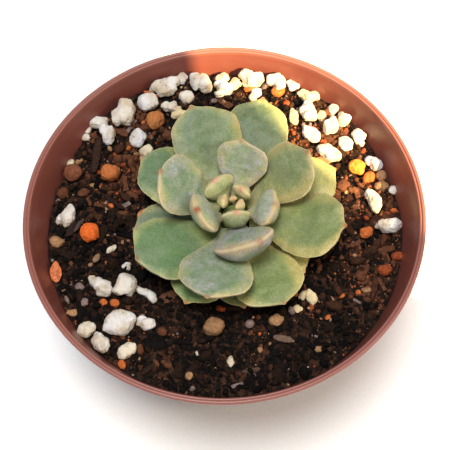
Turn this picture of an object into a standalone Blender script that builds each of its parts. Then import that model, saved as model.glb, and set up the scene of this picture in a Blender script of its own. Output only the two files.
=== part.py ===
"""A small rosette succulent in a low terracotta-brown nursery pot.

Units are metres with +Z up. The origin is the centre of the pot's base, on the
plane that the pot stands on. Lengths below are in millimetres and are turned
to metres by MM.
"""
import math

import bmesh
import bpy
from mathutils import Matrix, Vector, noise

MM = 0.001
GAP = 0.35

# Pot: one moulded piece, low and wide, with a collar under a rolled rim.
POT_HEIGHT = 50.0
RIM_RADIUS = 45.0
RIM_BEAD = 1.5
COLLAR_DEPTH = 9.5
COLLAR_FOOT_RADIUS = 41.95
BASE_RADIUS = 27.8
WALL = 1.1
FOOT_RING_INNER = 23.6
FOOT_RECESS = 1.8
FLOOR_TOP = 3.0
DRAIN_COUNT = 6
DRAIN_RADIUS = 2.8
DRAIN_CIRCLE = 14.5
POT_STEPS = 64

# Soil: fills the pot to SOIL_DEPTH below the rim, banked up at the back.
SOIL_DEPTH = 9.6
SOIL_STEPS = 40
BANK_HEIGHT = 3.0
BANK_START = 12.0
BANK_END = 34.0

# Plant: a short stem that carries the leaves in a golden-angle spiral.
PLANT_X = 2.3
PLANT_Y = 0.4
GOLDEN_ANGLE = 137.5
FIRST_LEAF_ANGLE = 105.0
YOUNGEST_LEAF_HEIGHT = 2.1
LEAF_PITCH = 0.34
BUD_PITCH = 0.25
BUD_LEAVES = 4
STEM_RADIUS = 2.9
STEM_SINK = 10.0
LEAF_AROUND = 12
LEAF_ALONG = 12
LEAF_BASE_THICKNESS = 1.5

# Half-width along a leaf: narrow base, broad round blade, short pointed tip.
LEAF_OUTLINE = (
    (0.0, 0.25), (0.10, 0.28), (0.22, 0.42), (0.34, 0.65), (0.46, 0.85), (0.58, 0.98), (0.67, 1.0),
    (0.77, 0.95), (0.85, 0.81), (0.905, 0.58), (0.94, 0.34), (0.962, 0.17), (0.98, 0.09), (1.0, 0.03),
)

# One row per leaf, youngest first: turn off the spiral in degrees, length, width,
# thickness, rise at the base and at the tip in degrees, roll, side hook of the tip.
LEAVES = (
    (0, 2.2, 1.9, 1.4, 80, 100, 0, 0.0),
    (0, 2.9, 2.9, 2.2, 76, 104, 0, 0.0),
    (-22, 3.4, 3.4, 2.6, 70, 94, 0, 0.0),
    (0, 5.0, 4.8, 3.0, 64, 100, 0, 0.0),
    (0, 7.0, 6.6, 3.8, 58, 96, 0, 0.0),
    (-12, 6.8, 7.6, 4.2, 45, 62, 0, 0.4),
    (-14, 9.3, 9.2, 4.6, 36, 54, 0, 0.0),
    (-20, 10.0, 10.2, 4.4, 47, 60, 0, 0.0),
    (-8, 14.5, 12.0, 3.8, 34, 58, -12, 0.5),
    (-28, 15.8, 13.4, 6.2, 35, 60, 14, 3.2),
    (-9, 17.8, 14.2, 4.0, 28, 50, 0, 0.0),
    (-4, 19.6, 13.8, 4.0, 24, 44, 0, 0.2),
    (0, 23.6, 16.2, 4.0, 16, 30, 0, -0.2),
    (-10, 24.2, 16.2, 3.7, 16, 30, 0, 1.4),
    (4, 22.8, 16.8, 4.0, 10, 22, 0, 0.3),
    (8, 22.5, 16.6, 4.0, 10, 20, 0, -0.4),
    (9, 26.6, 15.2, 3.7, 8, 20, 0, 0.2),
    (4, 22.3, 15.8, 3.4, 5, 15, 0, 0.8),
    (-6, 22.8, 14.2, 3.3, 5, 14, 0, 0.0),
    (12, 22.8, 13.6, 3.0, 3, 12, 0, 0.0),
    (6, 20.5, 12.6, 2.8, 2, 9, 0, 0.0),
    (0, 19.0, 12.0, 2.6, 1, 8, 0, 0.0),
    (-2, 17.0, 12.4, 2.4, -2, 6, 0, 0.0),
    (0, 19.7, 12.6, 2.4, -1, 6, 0, 0.0),
    (0, 16.0, 10.4, 2.2, -2, 4, 0, 0.0),
    (6, 17.8, 11.6, 2.2, -1, 4, 0, 0.0),
)
LEAF_CUP = 0.1

# Cross-section: an ellipse drawn part of the way to a sharp-edged lens, further on
# the young leaves.
YOUNG_LEAVES = 6
YOUNG_EDGE = 0.85
GROWN_EDGE = 0.45
LENS_POWER = 2.6

# Large grains lying on the soil: x, y, width, depth, turn in degrees.
PERLITE = (
    (-22.9, 30.0, 5.2, 6.0, 0), (-26.8, 25.0, 3.6, 4.8, 10), (-19.8, 24.0, 3.6, 4.4, -8),
    (-12.9, 37.0, 7.0, 4.4, 20), (-17.2, 33.0, 4.8, 4.2, 0), (-4.3, 37.8, 4.8, 5.0, 0),
    (1.0, 36.2, 4.4, 3.8, 0), (-36.4, 4.9, 3.7, 5.2, -20), (7.9, 38.8, 5.6, 4.2, 0),
    (13.8, 37.3, 4.2, 4.0, 0), (21.0, 29.0, 3.8, 4.8, 0), (26.0, 25.0, 3.6, 4.2, 0),
    (29.5, 26.8, 3.0, 3.6, 30), (29.4, 20.6, 3.0, 3.4, 0), (32.8, 22.0, 3.0, 3.8, 35),
    (25.4, 18.4, 5.2, 3.4, -15), (34.7, 5.1, 3.8, 5.6, 10), (37.6, -1.4, 4.8, 4.4, 20),
    (-27.9, -13.9, 4.4, 4.2, 0), (-22.6, -13.4, 4.8, 5.0, 30), (-18.0, -15.6, 4.8, 2.0, -45),
    (-23.9, -22.9, 6.4, 5.4, 10), (-18.2, -22.8, 4.2, 3.0, 0), (-28.2, -27.0, 3.6, 4.2, 20),
)
CLAY = (
    (-31.0, 0.0, 4.6, 4.4, 10), (-15.6, 28.2, 4.4, 4.2, 0), (-26.2, 15.4, 4.4, 4.2, 0),
    (-35.2, 16.0, 4.2, 4.0, 30), (31.6, 14.4, 4.0, 3.8, 15),
)
STONES = (
    (-3.1, -24.5, 4.8, 4.4, 20),
)
GRAIN_FLATNESS = 0.75
GRAIN_ROUGHNESS = 0.10

PLASTIC_BROWN = (0.45, 0.13, 0.075)
SOIL_BLACK = (0.018, 0.012, 0.009)
LEAF_GREEN = (0.30, 0.40, 0.24)
LEAF_PALE = (0.38, 0.45, 0.30)
STEM_GREEN = (0.26, 0.27, 0.12)
WITHERED = (0.42, 0.17, 0.06)
PERLITE_WHITE = (0.80, 0.78, 0.72)
CLAY_ORANGE = (0.50, 0.17, 0.05)
STONE_TAN = (0.30, 0.21, 0.14)


def clear_scene():
    """Remove every object that the scene starts with."""
    for obj in list(bpy.data.objects):
        bpy.data.objects.remove(obj, do_unlink=True)


def new_collection(name):
    """A collection linked into the scene."""
    collection = bpy.data.collections.new(name)
    bpy.context.scene.collection.children.link(collection)
    return collection


def plain_material(name, colour, roughness):
    """A Principled BSDF with one colour and one roughness."""
    material = bpy.data.materials.new(name)
    material.use_nodes = True
    shader = material.node_tree.nodes["Principled BSDF"]
    shader.inputs["Base Color"].default_value = (*colour, 1.0)
    shader.inputs["Roughness"].default_value = roughness
    shader.inputs["Metallic"].default_value = 0.0
    return material


def add_object(name, mesh, collection, material=None):
    """An object for a mesh, in a collection, with its material."""
    obj = bpy.data.objects.new(name, mesh)
    collection.objects.link(obj)
    if material:
        mesh.materials.append(material)
    return obj


def smoothstep(value):
    """Ease from 0 to 1."""
    value = min(max(value, 0.0), 1.0)
    return value * value * (3.0 - 2.0 * value)


def wall_inner_radius(z):
    """Radius of the pot's inner face at a height above the base."""
    collar_foot = POT_HEIGHT - COLLAR_DEPTH
    inner_foot = COLLAR_FOOT_RADIUS - WALL
    if z >= collar_foot:
        share = (z - collar_foot) / COLLAR_DEPTH
        return inner_foot + share * (RIM_RADIUS - RIM_BEAD - inner_foot)
    share = (z - FLOOR_TOP) / (collar_foot - FLOOR_TOP)
    return (BASE_RADIUS - 0.4) + share * (inner_foot - BASE_RADIUS + 0.4)


def soil_height(y):
    """Height of the soil's top above the base, by how far back a place is."""
    bank = BANK_HEIGHT * smoothstep((y - BANK_START) / (BANK_END - BANK_START))
    return POT_HEIGHT - SOIL_DEPTH + bank


def turned_mesh(name, profile, steps):
    """Turn a closed or axis-to-axis profile of (radius, height) points about Z."""
    mesh = bpy.data.meshes.new(name)
    outline = bmesh.new()
    points = [outline.verts.new((r * MM, 0.0, z * MM)) for r, z in profile]
    for first, second in zip(points, points[1:]):
        outline.edges.new((first, second))
    outline.to_mesh(mesh)
    outline.free()
    guide = bpy.data.objects.new(name, mesh)
    bpy.context.scene.collection.objects.link(guide)
    screw = guide.modifiers.new("turn", "SCREW")
    screw.steps = steps
    screw.render_steps = steps
    screw.use_merge_vertices = True
    screw.merge_threshold = 0.00001
    bpy.context.view_layer.update()
    evaluated = guide.evaluated_get(bpy.context.evaluated_depsgraph_get())
    solid = bpy.data.meshes.new_from_object(evaluated)
    bpy.data.objects.remove(guide, do_unlink=True)
    return solid


def cylinder_cutter(name, x, y, bottom, top, radius, sides, collection):
    """A round cutter that stands on end."""
    mesh = bpy.data.meshes.new(name)
    drum = bmesh.new()
    place = Matrix.Translation((x * MM, y * MM, 0.5 * (bottom + top) * MM))
    bmesh.ops.create_cone(
        drum, cap_ends=True, segments=sides, radius1=radius * MM, radius2=radius * MM,
        depth=(top - bottom) * MM, matrix=place,
    )
    drum.to_mesh(mesh)
    drum.free()
    cutter = add_object(name, mesh, collection)
    cutter.hide_render = True
    cutter.display_type = "WIRE"
    return cutter


def cut(target, cutter):
    """Take a cutter away from an object."""
    boolean = target.modifiers.new("cut_" + cutter.name, "BOOLEAN")
    boolean.operation = "DIFFERENCE"
    boolean.solver = "EXACT"
    boolean.object = cutter


def smooth(mesh, degrees):
    """Shade smooth except over sharp edges."""
    mesh.shade_smooth()
    mesh.set_sharp_from_angle(angle=math.radians(degrees))


def build_pot(parts, cutters):
    """The moulded pot: floor, tapered wall, collar, rolled rim and drain holes."""
    collar_foot = POT_HEIGHT - COLLAR_DEPTH
    bead = RIM_BEAD / 2.0
    bead_r = RIM_RADIUS - bead
    bead_z = POT_HEIGHT - bead
    profile = [(0.0, FLOOR_TOP), (BASE_RADIUS - 2.0, FLOOR_TOP)]
    for z in (FLOOR_TOP + 1.2, 22.0, collar_foot, POT_HEIGHT - 4.0):
        profile.append((wall_inner_radius(z), z))
    for turn in (180, 140, 90, 40, 0, -45, -90):
        angle = math.radians(turn)
        profile.append((bead_r + bead * math.cos(angle), bead_z + bead * math.sin(angle)))
    profile += [
        (COLLAR_FOOT_RADIUS + 0.25, collar_foot + 0.4),
        (COLLAR_FOOT_RADIUS - 0.25, collar_foot - 0.3),
        (BASE_RADIUS + 0.5, 1.6),
        (BASE_RADIUS, 0.5),
        (BASE_RADIUS - 0.8, 0.0),
        (FOOT_RING_INNER + 0.5, 0.0),
        (FOOT_RING_INNER, 0.4),
        (FOOT_RING_INNER - 0.3, FOOT_RECESS),
        (0.0, FOOT_RECESS),
    ]
    mesh = turned_mesh("pot", profile, POT_STEPS)
    smooth(mesh, 35)
    pot = add_object("pot", mesh, parts, plain_material("pot_plastic", PLASTIC_BROWN, 0.42))
    for index in range(DRAIN_COUNT):
        angle = 2.0 * math.pi * (index + 0.5) / DRAIN_COUNT
        hole = cylinder_cutter(
            f"drain_{index + 1}", DRAIN_CIRCLE * math.cos(angle), DRAIN_CIRCLE * math.sin(angle),
            FOOT_RECESS - 1.0, FLOOR_TOP + 1.0, DRAIN_RADIUS, 14, cutters,
        )
        cut(pot, hole)
    return pot


def build_soil(parts, cutters):
    """The soil body, with its top banked at the back and a socket for the stem."""
    edge = POT_HEIGHT - SOIL_DEPTH
    top = edge - 0.01
    profile = [(0.0, top)]
    profile += [(r, top) for r in (7.0, 14.0, 21.0, 28.0, 34.0)]
    profile.append((wall_inner_radius(edge) - GAP, top))
    for z in (22.0, FLOOR_TOP + 2.0):
        profile.append((wall_inner_radius(z) - GAP, z))
    profile.append((BASE_RADIUS - 2.5, FLOOR_TOP + GAP))
    profile.append((0.0, FLOOR_TOP + GAP))
    mesh = turned_mesh("soil", profile, SOIL_STEPS)
    for vertex in mesh.vertices:
        x = vertex.co.x / MM
        y = vertex.co.y / MM
        if vertex.co.z / MM < top - 0.5:
            continue
        height = soil_height(y)
        radius = math.hypot(x, y)
        if radius > 38.0:
            stretch = (wall_inner_radius(height) - GAP) / radius
            vertex.co.x *= stretch
            vertex.co.y *= stretch
        vertex.co.z = height * MM
    smooth(mesh, 50)
    soil = add_object("soil", mesh, parts, plain_material("potting_soil", SOIL_BLACK, 0.95))
    socket = cylinder_cutter(
        "stem_socket", PLANT_X, PLANT_Y, edge - STEM_SINK, edge + 6.0, STEM_RADIUS + GAP, 16, cutters,
    )
    cut(soil, socket)
    return soil


def leaf_base(index):
    """Radius and height of a leaf's base on the stem, from the youngest down."""
    radius = (STEM_RADIUS + 0.7) * (1.0 - math.exp(-(index + 0.6) / 4.0))
    height = POT_HEIGHT + YOUNGEST_LEAF_HEIGHT - LEAF_PITCH * index
    height -= BUD_PITCH * min(index, BUD_LEAVES)
    return radius, height


def outline_at(share):
    """Half-width of a leaf as a share of its greatest, by a smooth curve."""
    last = len(LEAF_OUTLINE) - 1
    step = 0
    while step < last - 1 and share > LEAF_OUTLINE[step + 1][0]:
        step += 1

    def slope(point):
        before = LEAF_OUTLINE[max(point - 1, 0)]
        after = LEAF_OUTLINE[min(point + 1, last)]
        return (after[1] - before[1]) / (after[0] - before[0])

    start, end = LEAF_OUTLINE[step], LEAF_OUTLINE[step + 1]
    span = end[0] - start[0]
    f = (share - start[0]) / span
    rise = (f ** 3 - 2 * f * f + f) * slope(step) * span + (f ** 3 - f * f) * slope(step + 1) * span
    return (2 * f ** 3 - 3 * f * f + 1) * start[1] + (3 * f * f - 2 * f ** 3) * end[1] + rise


def leaf_point(index, leaf, along, across, over):
    """A point of a leaf: along it from 0 to 1, across and over it from -1 to 1."""
    nudge, length, width, thickness, rise, rise_tip, roll, hook = leaf
    edge_share = YOUNG_EDGE if index < YOUNG_LEAVES else GROWN_EDGE
    lens = (1.0 - edge_share) * abs(over) + edge_share * (1.0 - abs(across) ** LENS_POWER)
    over = math.copysign(lens, over)
    radius, height = leaf_base(index)
    base_share = LEAF_BASE_THICKNESS / max(thickness, LEAF_BASE_THICKNESS)
    swell = base_share + (1.0 - base_share) * min(1.0, along / 0.55) ** 1.2
    taper = 1.0 - max(0.0, (along - 0.62) / 0.40) ** 2.2
    body = thickness * max(swell * taper, 0.06)
    half = 0.5 * width * outline_at(along)
    normal = body * (0.40 if over >= 0.0 else 0.60) * over
    normal += LEAF_CUP * half * (across * across - 0.5)
    side = half * across
    turn = math.radians(roll) * along
    side, normal = (
        side * math.cos(turn) - normal * math.sin(turn),
        side * math.sin(turn) + normal * math.cos(turn),
    )
    side += hook * max(0.0, (along - 0.72) / 0.28) ** 2
    start = math.radians(rise)
    bend = (math.radians(rise_tip) - start) / length
    slant = start + bend * length * along
    out = (math.sin(slant) - math.sin(start)) / bend + radius - normal * math.sin(slant)
    up = (math.cos(start) - math.cos(slant)) / bend + height + normal * math.cos(slant)
    azimuth = math.radians(FIRST_LEAF_ANGLE - GOLDEN_ANGLE * index + nudge)
    return Vector((
        (PLANT_X + out * math.cos(azimuth) - side * math.sin(azimuth)) * MM,
        (PLANT_Y + out * math.sin(azimuth) + side * math.cos(azimuth)) * MM,
        up * MM,
    ))


def build_leaf(index, leaf, parts, material):
    """One fleshy leaf: a sphere drawn out along the leaf's bent midline."""
    mesh = bpy.data.meshes.new(f"leaf_{index + 1:02d}")
    ball = bmesh.new()
    bmesh.ops.create_uvsphere(ball, u_segments=LEAF_AROUND, v_segments=LEAF_ALONG, radius=1.0)
    for vertex in ball.verts:
        polar = math.acos(min(max(-vertex.co.z, -1.0), 1.0)) / math.pi
        along = 1.0 - (1.0 - polar) ** 1.5
        ring = math.hypot(vertex.co.x, vertex.co.y)
        across = vertex.co.x / ring if ring > 1e-6 else 0.0
        over = vertex.co.y / ring if ring > 1e-6 else 0.0
        vertex.co = leaf_point(index, leaf, along, across, over)
    bmesh.ops.recalc_face_normals(ball, faces=ball.faces)
    ball.to_mesh(mesh)
    ball.free()
    smooth(mesh, 80)
    return add_object(mesh.name, mesh, parts, material)


def build_stem(parts):
    """The short stem, rooted in the soil and domed under the youngest leaves."""
    foot = POT_HEIGHT - SOIL_DEPTH - STEM_SINK + GAP
    top = POT_HEIGHT - 1.6
    profile = [(0.0, top)]
    for share in (0.35, 0.65, 0.88, 1.0):
        drop = 1.0 - math.sqrt(1.0 - share * share)
        profile.append((STEM_RADIUS * share, top - 2.4 * drop))
    profile += [(STEM_RADIUS, 44.0), (STEM_RADIUS, foot + 1.0), (STEM_RADIUS - 0.8, foot), (0.0, foot)]
    mesh = turned_mesh("stem", profile, 14)
    for vertex in mesh.vertices:
        vertex.co.x += PLANT_X * MM
        vertex.co.y += PLANT_Y * MM
    smooth(mesh, 40)
    return add_object("stem", mesh, parts, plain_material("stem_green", STEM_GREEN, 0.6))


def build_withered_leaf(parts):
    """The papery dead leaf that hangs out from under the rosette at its left."""
    mesh = bpy.data.meshes.new("withered_leaf")
    ball = bmesh.new()
    bmesh.ops.create_uvsphere(ball, u_segments=8, v_segments=10, radius=1.0)
    azimuth = math.radians(171.0)
    start, reach = 14.0, 8.6
    for vertex in ball.verts:
        along = 0.5 * (vertex.co.z + 1.0)
        out = start + reach * along
        side = 2.5 * vertex.co.x * (0.6 + 0.4 * along)
        up = POT_HEIGHT - 8.95 + 0.28 * vertex.co.y + 0.05 * side * side + 1.3 * along * along
        vertex.co = (
            (PLANT_X + out * math.cos(azimuth) - side * math.sin(azimuth)) * MM,
            (PLANT_Y + out * math.sin(azimuth) + side * math.cos(azimuth)) * MM,
            up * MM,
        )
    bmesh.ops.recalc_face_normals(ball, faces=ball.faces)
    ball.to_mesh(mesh)
    ball.free()
    smooth(mesh, 80)
    return add_object("withered_leaf", mesh, parts, plain_material("withered_leaf", WITHERED, 0.7))


def build_grain(name, grain, seed, parts, material):
    """One lumpy grain that rests on the soil."""
    x, y, width, depth, turn = grain
    height = GRAIN_FLATNESS * min(width, depth)
    centre = soil_height(y) + GAP + 0.5 * height * (1.0 + GRAIN_ROUGHNESS)
    mesh = bpy.data.meshes.new(name)
    ball = bmesh.new()
    bmesh.ops.create_icosphere(ball, subdivisions=2, radius=1.0)
    for vertex in ball.verts:
        lump = noise.noise(vertex.co * 1.3 + Vector((seed * 3.7, seed * 1.9, 0.0)))
        vertex.co *= 1.0 + 2.0 * GRAIN_ROUGHNESS * lump
        vertex.co.x *= 0.5 * width * MM
        vertex.co.y *= 0.5 * depth * MM
        vertex.co.z *= 0.5 * height * MM
    ball.to_mesh(mesh)
    ball.free()
    smooth(mesh, 30)
    obj = add_object(name, mesh, parts, material)
    obj.location = (x * MM, y * MM, centre * MM)
    obj.rotation_euler = (0.0, 0.0, math.radians(turn))
    return obj


def build():
    """Make every piece."""
    clear_scene()
    parts = new_collection("potted_succulent")
    cutters = new_collection("cutters")
    build_pot(parts, cutters)
    build_soil(parts, cutters)
    build_stem(parts)
    green = plain_material("leaf_flesh", LEAF_GREEN, 0.55)
    pale = plain_material("leaf_flesh_young", LEAF_PALE, 0.55)
    for index, leaf in enumerate(LEAVES):
        build_leaf(index, leaf, parts, pale if index < 6 else green)
    build_withered_leaf(parts)
    white = plain_material("perlite", PERLITE_WHITE, 0.9)
    orange = plain_material("baked_clay", CLAY_ORANGE, 0.9)
    tan = plain_material("stone", STONE_TAN, 0.85)
    for index, grain in enumerate(PERLITE):
        build_grain(f"perlite_{index + 1:02d}", grain, index, parts, white)
    for index, grain in enumerate(CLAY):
        build_grain(f"clay_{index + 1:02d}", grain, index + 40, parts, orange)
    for index, grain in enumerate(STONES):
        build_grain(f"stone_{index + 1:02d}", grain, index + 60, parts, tan)


build()
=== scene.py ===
"""Looks for a small rosette succulent in a low terracotta-brown nursery pot.

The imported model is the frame: the pot, the soil, the stem, 26 leaves, a withered
leaf and the large grains are each remodelled finely in their own CAD place, and
crumbs, bark and small grains are strewn over the soil. Lengths are in millimetres
and are turned to metres by MM.
"""
import math
import random

import bpy
import numpy as np
from mathutils import Euler, Matrix, Vector, noise


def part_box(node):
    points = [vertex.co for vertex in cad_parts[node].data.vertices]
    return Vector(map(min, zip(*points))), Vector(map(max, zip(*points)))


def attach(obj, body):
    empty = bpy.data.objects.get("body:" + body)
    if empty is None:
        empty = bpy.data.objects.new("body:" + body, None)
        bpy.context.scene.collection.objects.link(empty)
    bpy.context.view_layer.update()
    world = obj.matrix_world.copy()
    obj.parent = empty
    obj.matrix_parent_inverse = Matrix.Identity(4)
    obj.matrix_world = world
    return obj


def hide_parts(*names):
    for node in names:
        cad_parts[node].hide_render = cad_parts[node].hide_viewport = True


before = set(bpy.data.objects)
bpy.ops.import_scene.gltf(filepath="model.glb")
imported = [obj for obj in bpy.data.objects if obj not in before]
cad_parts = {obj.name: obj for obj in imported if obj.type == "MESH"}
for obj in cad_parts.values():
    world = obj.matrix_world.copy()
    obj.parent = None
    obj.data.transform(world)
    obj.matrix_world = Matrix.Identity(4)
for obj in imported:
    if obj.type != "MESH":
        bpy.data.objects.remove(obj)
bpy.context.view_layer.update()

MM = 0.001
POT_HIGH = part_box("pot")[1]
POT_HEIGHT = POT_HIGH.z / MM
RIM_RADIUS = POT_HIGH.x / MM

# Pot: an injection-moulded wall, a collar, and a rim of an inner bead and an outer lip.
WALL = 1.1
COLLAR_DEPTH = 9.5
COLLAR_FOOT_RADIUS = 41.95
BASE_RADIUS = 27.8
FOOT_RING_INNER = 23.6
FOOT_RECESS = 1.8
FLOOR_TOP = 3.0
DRAIN_COUNT = 6
DRAIN_RADIUS = 2.8
DRAIN_CIRCLE = 14.5
BEAD_RADIUS = 0.34
LIP_RADIUS = 0.50
COLLAR_STEP = 0.50
POT_STEPS = 192

# Soil: banked up at the back, with a crumbly relief. Crumbs and slivers are strewn
# within their reach of the pot's axis. Under the lowest leaves, where there is little
# room, the crumbs are sunk and the slivers left out.
SOIL_EDGE = 40.4
BANK_HEIGHT = 3.0
BANK_START = 12.0
BANK_END = 34.0
SOIL_GRID = 220
CRUMB_REACH = 40.3
SLIVER_REACH = 38.5
SLIVER_COUNT = 420
LEAF_SHADE = 19.0

# Plant: the leaves sit on the stem in a golden-angle spiral, in degrees, and each
# next one is seated lower by the pitch, more so in the bud.
PLANT_X = 2.3
PLANT_Y = 0.4
GOLDEN_ANGLE = 137.5
FIRST_LEAF_ANGLE = 105.0
YOUNGEST_LEAF_HEIGHT = 2.1
LEAF_PITCH = 0.34
BUD_PITCH = 0.25
BUD_LEAVES = 4
STEM_RADIUS = 2.9
LEAF_BASE_THICKNESS = 1.5
LEAF_CUP = 0.1

# A leaf's section is part round and part lens: the share of lens, young and grown.
YOUNG_LEAVES = 6
YOUNG_EDGE = 0.85
GROWN_EDGE = 0.45
LENS_POWER = 2.6

# Mesh steps round a leaf and along it.
LEAF_AROUND = 48
LEAF_ALONG = 56

# Withered leaf: where it points in degrees, its start, reach and half-width.
WITHERED_AZIMUTH = 171.0
WITHERED_START = 14.0
WITHERED_REACH = 8.6
WITHERED_HALF = 2.6

# Camera: focal length, height above the horizon and roll in degrees, distance in metres.
CAMERA_LENS = 93.8
CAMERA_ELEVATION = 62.55
CAMERA_ROLL = -2.26
CAMERA_DISTANCE = 0.260

# Warm sun: azimuth and height in degrees; aim, reach and spot radius in metres.
SUN_AZIMUTH = -47.0
SUN_HEIGHT = 38.0
SUN_TARGET = (0.1291, 0.1171, 0.050)
SUN_REACH = 3.0
SUN_SPOT_RADIUS = 0.150

# Half-width along a leaf: narrow base, broad round blade, short pointed tip.
LEAF_OUTLINE = (
    (0.0, 0.25), (0.10, 0.28), (0.22, 0.42), (0.34, 0.65), (0.46, 0.85), (0.58, 0.98), (0.67, 1.0),
    (0.77, 0.95), (0.85, 0.81), (0.905, 0.58), (0.94, 0.34), (0.962, 0.17), (0.98, 0.09), (1.0, 0.03),
)

# One row per leaf, youngest first: turn off the spiral in degrees, length, width,
# thickness, rise at the base and at the tip in degrees, roll, side hook of the tip.
LEAVES = (
    (0, 2.2, 1.9, 1.4, 80, 100, 0, 0.0),
    (0, 2.9, 2.9, 2.2, 76, 104, 0, 0.0),
    (-22, 3.4, 3.4, 2.6, 70, 94, 0, 0.0),
    (0, 5.0, 4.8, 3.0, 64, 100, 0, 0.0),
    (0, 7.0, 6.6, 3.8, 58, 96, 0, 0.0),
    (-12, 6.8, 7.6, 4.2, 45, 62, 0, 0.4),
    (-14, 9.3, 9.2, 4.6, 36, 54, 0, 0.0),
    (-20, 10.0, 10.2, 4.4, 47, 60, 0, 0.0),
    (-8, 14.5, 12.0, 3.8, 34, 58, -12, 0.5),
    (-28, 15.8, 13.4, 6.2, 35, 60, 14, 3.2),
    (-9, 17.8, 14.2, 4.0, 28, 50, 0, 0.0),
    (-4, 19.6, 13.8, 4.0, 24, 44, 0, 0.2),
    (0, 23.6, 16.2, 4.0, 16, 30, 0, -0.2),
    (-10, 24.2, 16.2, 3.7, 16, 30, 0, 1.4),
    (4, 22.8, 16.8, 4.0, 10, 22, 0, 0.3),
    (8, 22.5, 16.6, 4.0, 10, 20, 0, -0.4),
    (9, 26.6, 15.2, 3.7, 8, 20, 0, 0.2),
    (4, 22.3, 15.8, 3.4, 5, 15, 0, 0.8),
    (-6, 22.8, 14.2, 3.3, 5, 14, 0, 0.0),
    (12, 22.8, 13.6, 3.0, 3, 12, 0, 0.0),
    (6, 20.5, 12.6, 2.8, 2, 9, 0, 0.0),
    (0, 19.0, 12.0, 2.6, 1, 8, 0, 0.0),
    (-2, 17.0, 12.4, 2.4, -2, 6, 0, 0.0),
    (0, 19.7, 12.6, 2.4, -1, 6, 0, 0.0),
    (0, 16.0, 10.4, 2.2, -2, 4, 0, 0.0),
    (6, 17.8, 11.6, 2.2, -1, 4, 0, 0.0),
)

# The same leaves' finish: powdery bloom, golden flush, blush of the tip, ochre of
# the sunned margin, and how light the leaf is, partly its own tone and partly painted shade on lower leaves
# that lie in the shade of others.
LEAF_FINISH = (
    (0.05, 0.55, 0.5, 0.2, 0.80), (0.10, 0.45, 0.5, 0.2, 0.80), (0.10, 0.50, 0.5, 0.2, 0.80),
    (0.20, 0.60, 0.9, 0.1, 0.76), (0.35, 0.30, 0.9, 0.1, 0.74), (0.20, 0.70, 0.9, 0.2, 0.82),
    (0.95, 0.45, 0.6, 0.4, 1.00), (0.80, 0.65, 1.0, 0.3, 0.94), (1.05, 0.50, 0.7, 0.2, 1.02),
    (1.35, 0.25, 0.7, 0.25, 0.80), (0.60, 0.40, 1.0, 0.2, 0.97), (0.50, 0.60, 0.9, 0.1, 0.66),
    (0.65, 0.20, 0.9, 0.2, 0.93), (0.30, 0.45, 1.0, 0.1, 0.68), (0.25, 0.45, 0.9, 0.0, 0.66),
    (0.20, 0.15, 0.9, 0.0, 0.87), (0.20, 0.35, 0.9, 0.0, 0.54), (0.20, 0.55, 0.9, 0.0, 0.71),
    (0.15, 0.30, 1.0, 0.0, 0.80), (0.05, 1.00, 0.9, 0.0, 0.76), (0.10, 0.35, 0.9, 0.0, 0.80),
    (0.20, 0.30, 0.6, 0.0, 0.76), (0.05, 1.00, 0.7, 0.0, 0.90), (0.45, 0.20, 0.6, 0.0, 0.80),
    (0.20, 0.30, 0.6, 0.0, 0.76), (0.10, 0.70, 0.7, 0.0, 0.80),
)

# Dark olive marks, the broad one on leaf 11 a painted shade: leaf number, place along and across it, radius
# in mm, darkness.
LEAF_MARKS = (
    (11, 0.42, 0.62, 2.6, 0.75), (16, 0.50, -0.74, 1.9, 0.60), (16, 0.36, -0.45, 1.4, 0.45),
    (9, 0.78, -0.45, 3.4, 0.30), (8, 0.97, 0.10, 0.7, 0.90), (12, 0.60, -0.10, 3.0, 0.22),
    (18, 0.40, -0.70, 0.8, 0.90), (13, 0.45, 0.15, 2.4, 0.25), (14, 0.50, 0.10, 3.4, 0.22),
)

# Hues of the crumbs and small grains, by what they are.
PEAT_BLACK = "0E0B0A"
PEAT_BROWN = "22160F"
HUMUS_BROWN = "3D261A"
BARK_BROWN = "5E3A28"
CLAY_RUST = "8F4527"
CLAY_ORANGE = "BA6433"
GRIT_TAN = "9B7554"
GRIT_LILAC = "7B6863"
CHAFF_CREAM = "CDB88F"

# Hues of the large baked-clay grains, and of the tan stone.
CLAY_HUES = {
    "clay_01": "D9662A", "clay_02": "B07040", "clay_03": "B5693A", "clay_04": "7A4A34", "clay_05": "D98A3A",
}
STONE_HUE = "8F6B4C"

# Mixes of hues, each with its weight.
FINE_MIX = (
    (PEAT_BLACK, 42), (PEAT_BROWN, 23), (HUMUS_BROWN, 15), (BARK_BROWN, 13), (CLAY_RUST, 2.5),
    (CLAY_ORANGE, 0.8), (GRIT_TAN, 2.6), (GRIT_LILAC, 2.4), (CHAFF_CREAM, 0.7),
)
SMALL_MIX = (
    (PEAT_BLACK, 48), (PEAT_BROWN, 22), (HUMUS_BROWN, 15), (BARK_BROWN, 11), (CLAY_RUST, 2.2),
    (CLAY_ORANGE, 0.8), (GRIT_TAN, 2.6), (GRIT_LILAC, 2.8),
)
LARGE_MIX = (
    (PEAT_BLACK, 32), (PEAT_BROWN, 28), (HUMUS_BROWN, 22), (BARK_BROWN, 14), (GRIT_LILAC, 4),
)
SLIVER_MIX = (
    (PEAT_BLACK, 50), (PEAT_BROWN, 30), (HUMUS_BROWN, 12), (BARK_BROWN, 5), (GRIT_LILAC, 2), (GRIT_TAN, 1),
)

# Crumbs: name, count, smallest and largest half-size, flatness, seed, mix.
CRUMBS = (
    ("crumbs_fine", 8500, 0.16, 0.48, 0.75, 11, FINE_MIX),
    ("crumbs_small", 2000, 0.40, 1.00, 0.70, 12, SMALL_MIX),
    ("crumbs_large", 170, 0.90, 1.70, 0.65, 13, LARGE_MIX),
)

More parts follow.
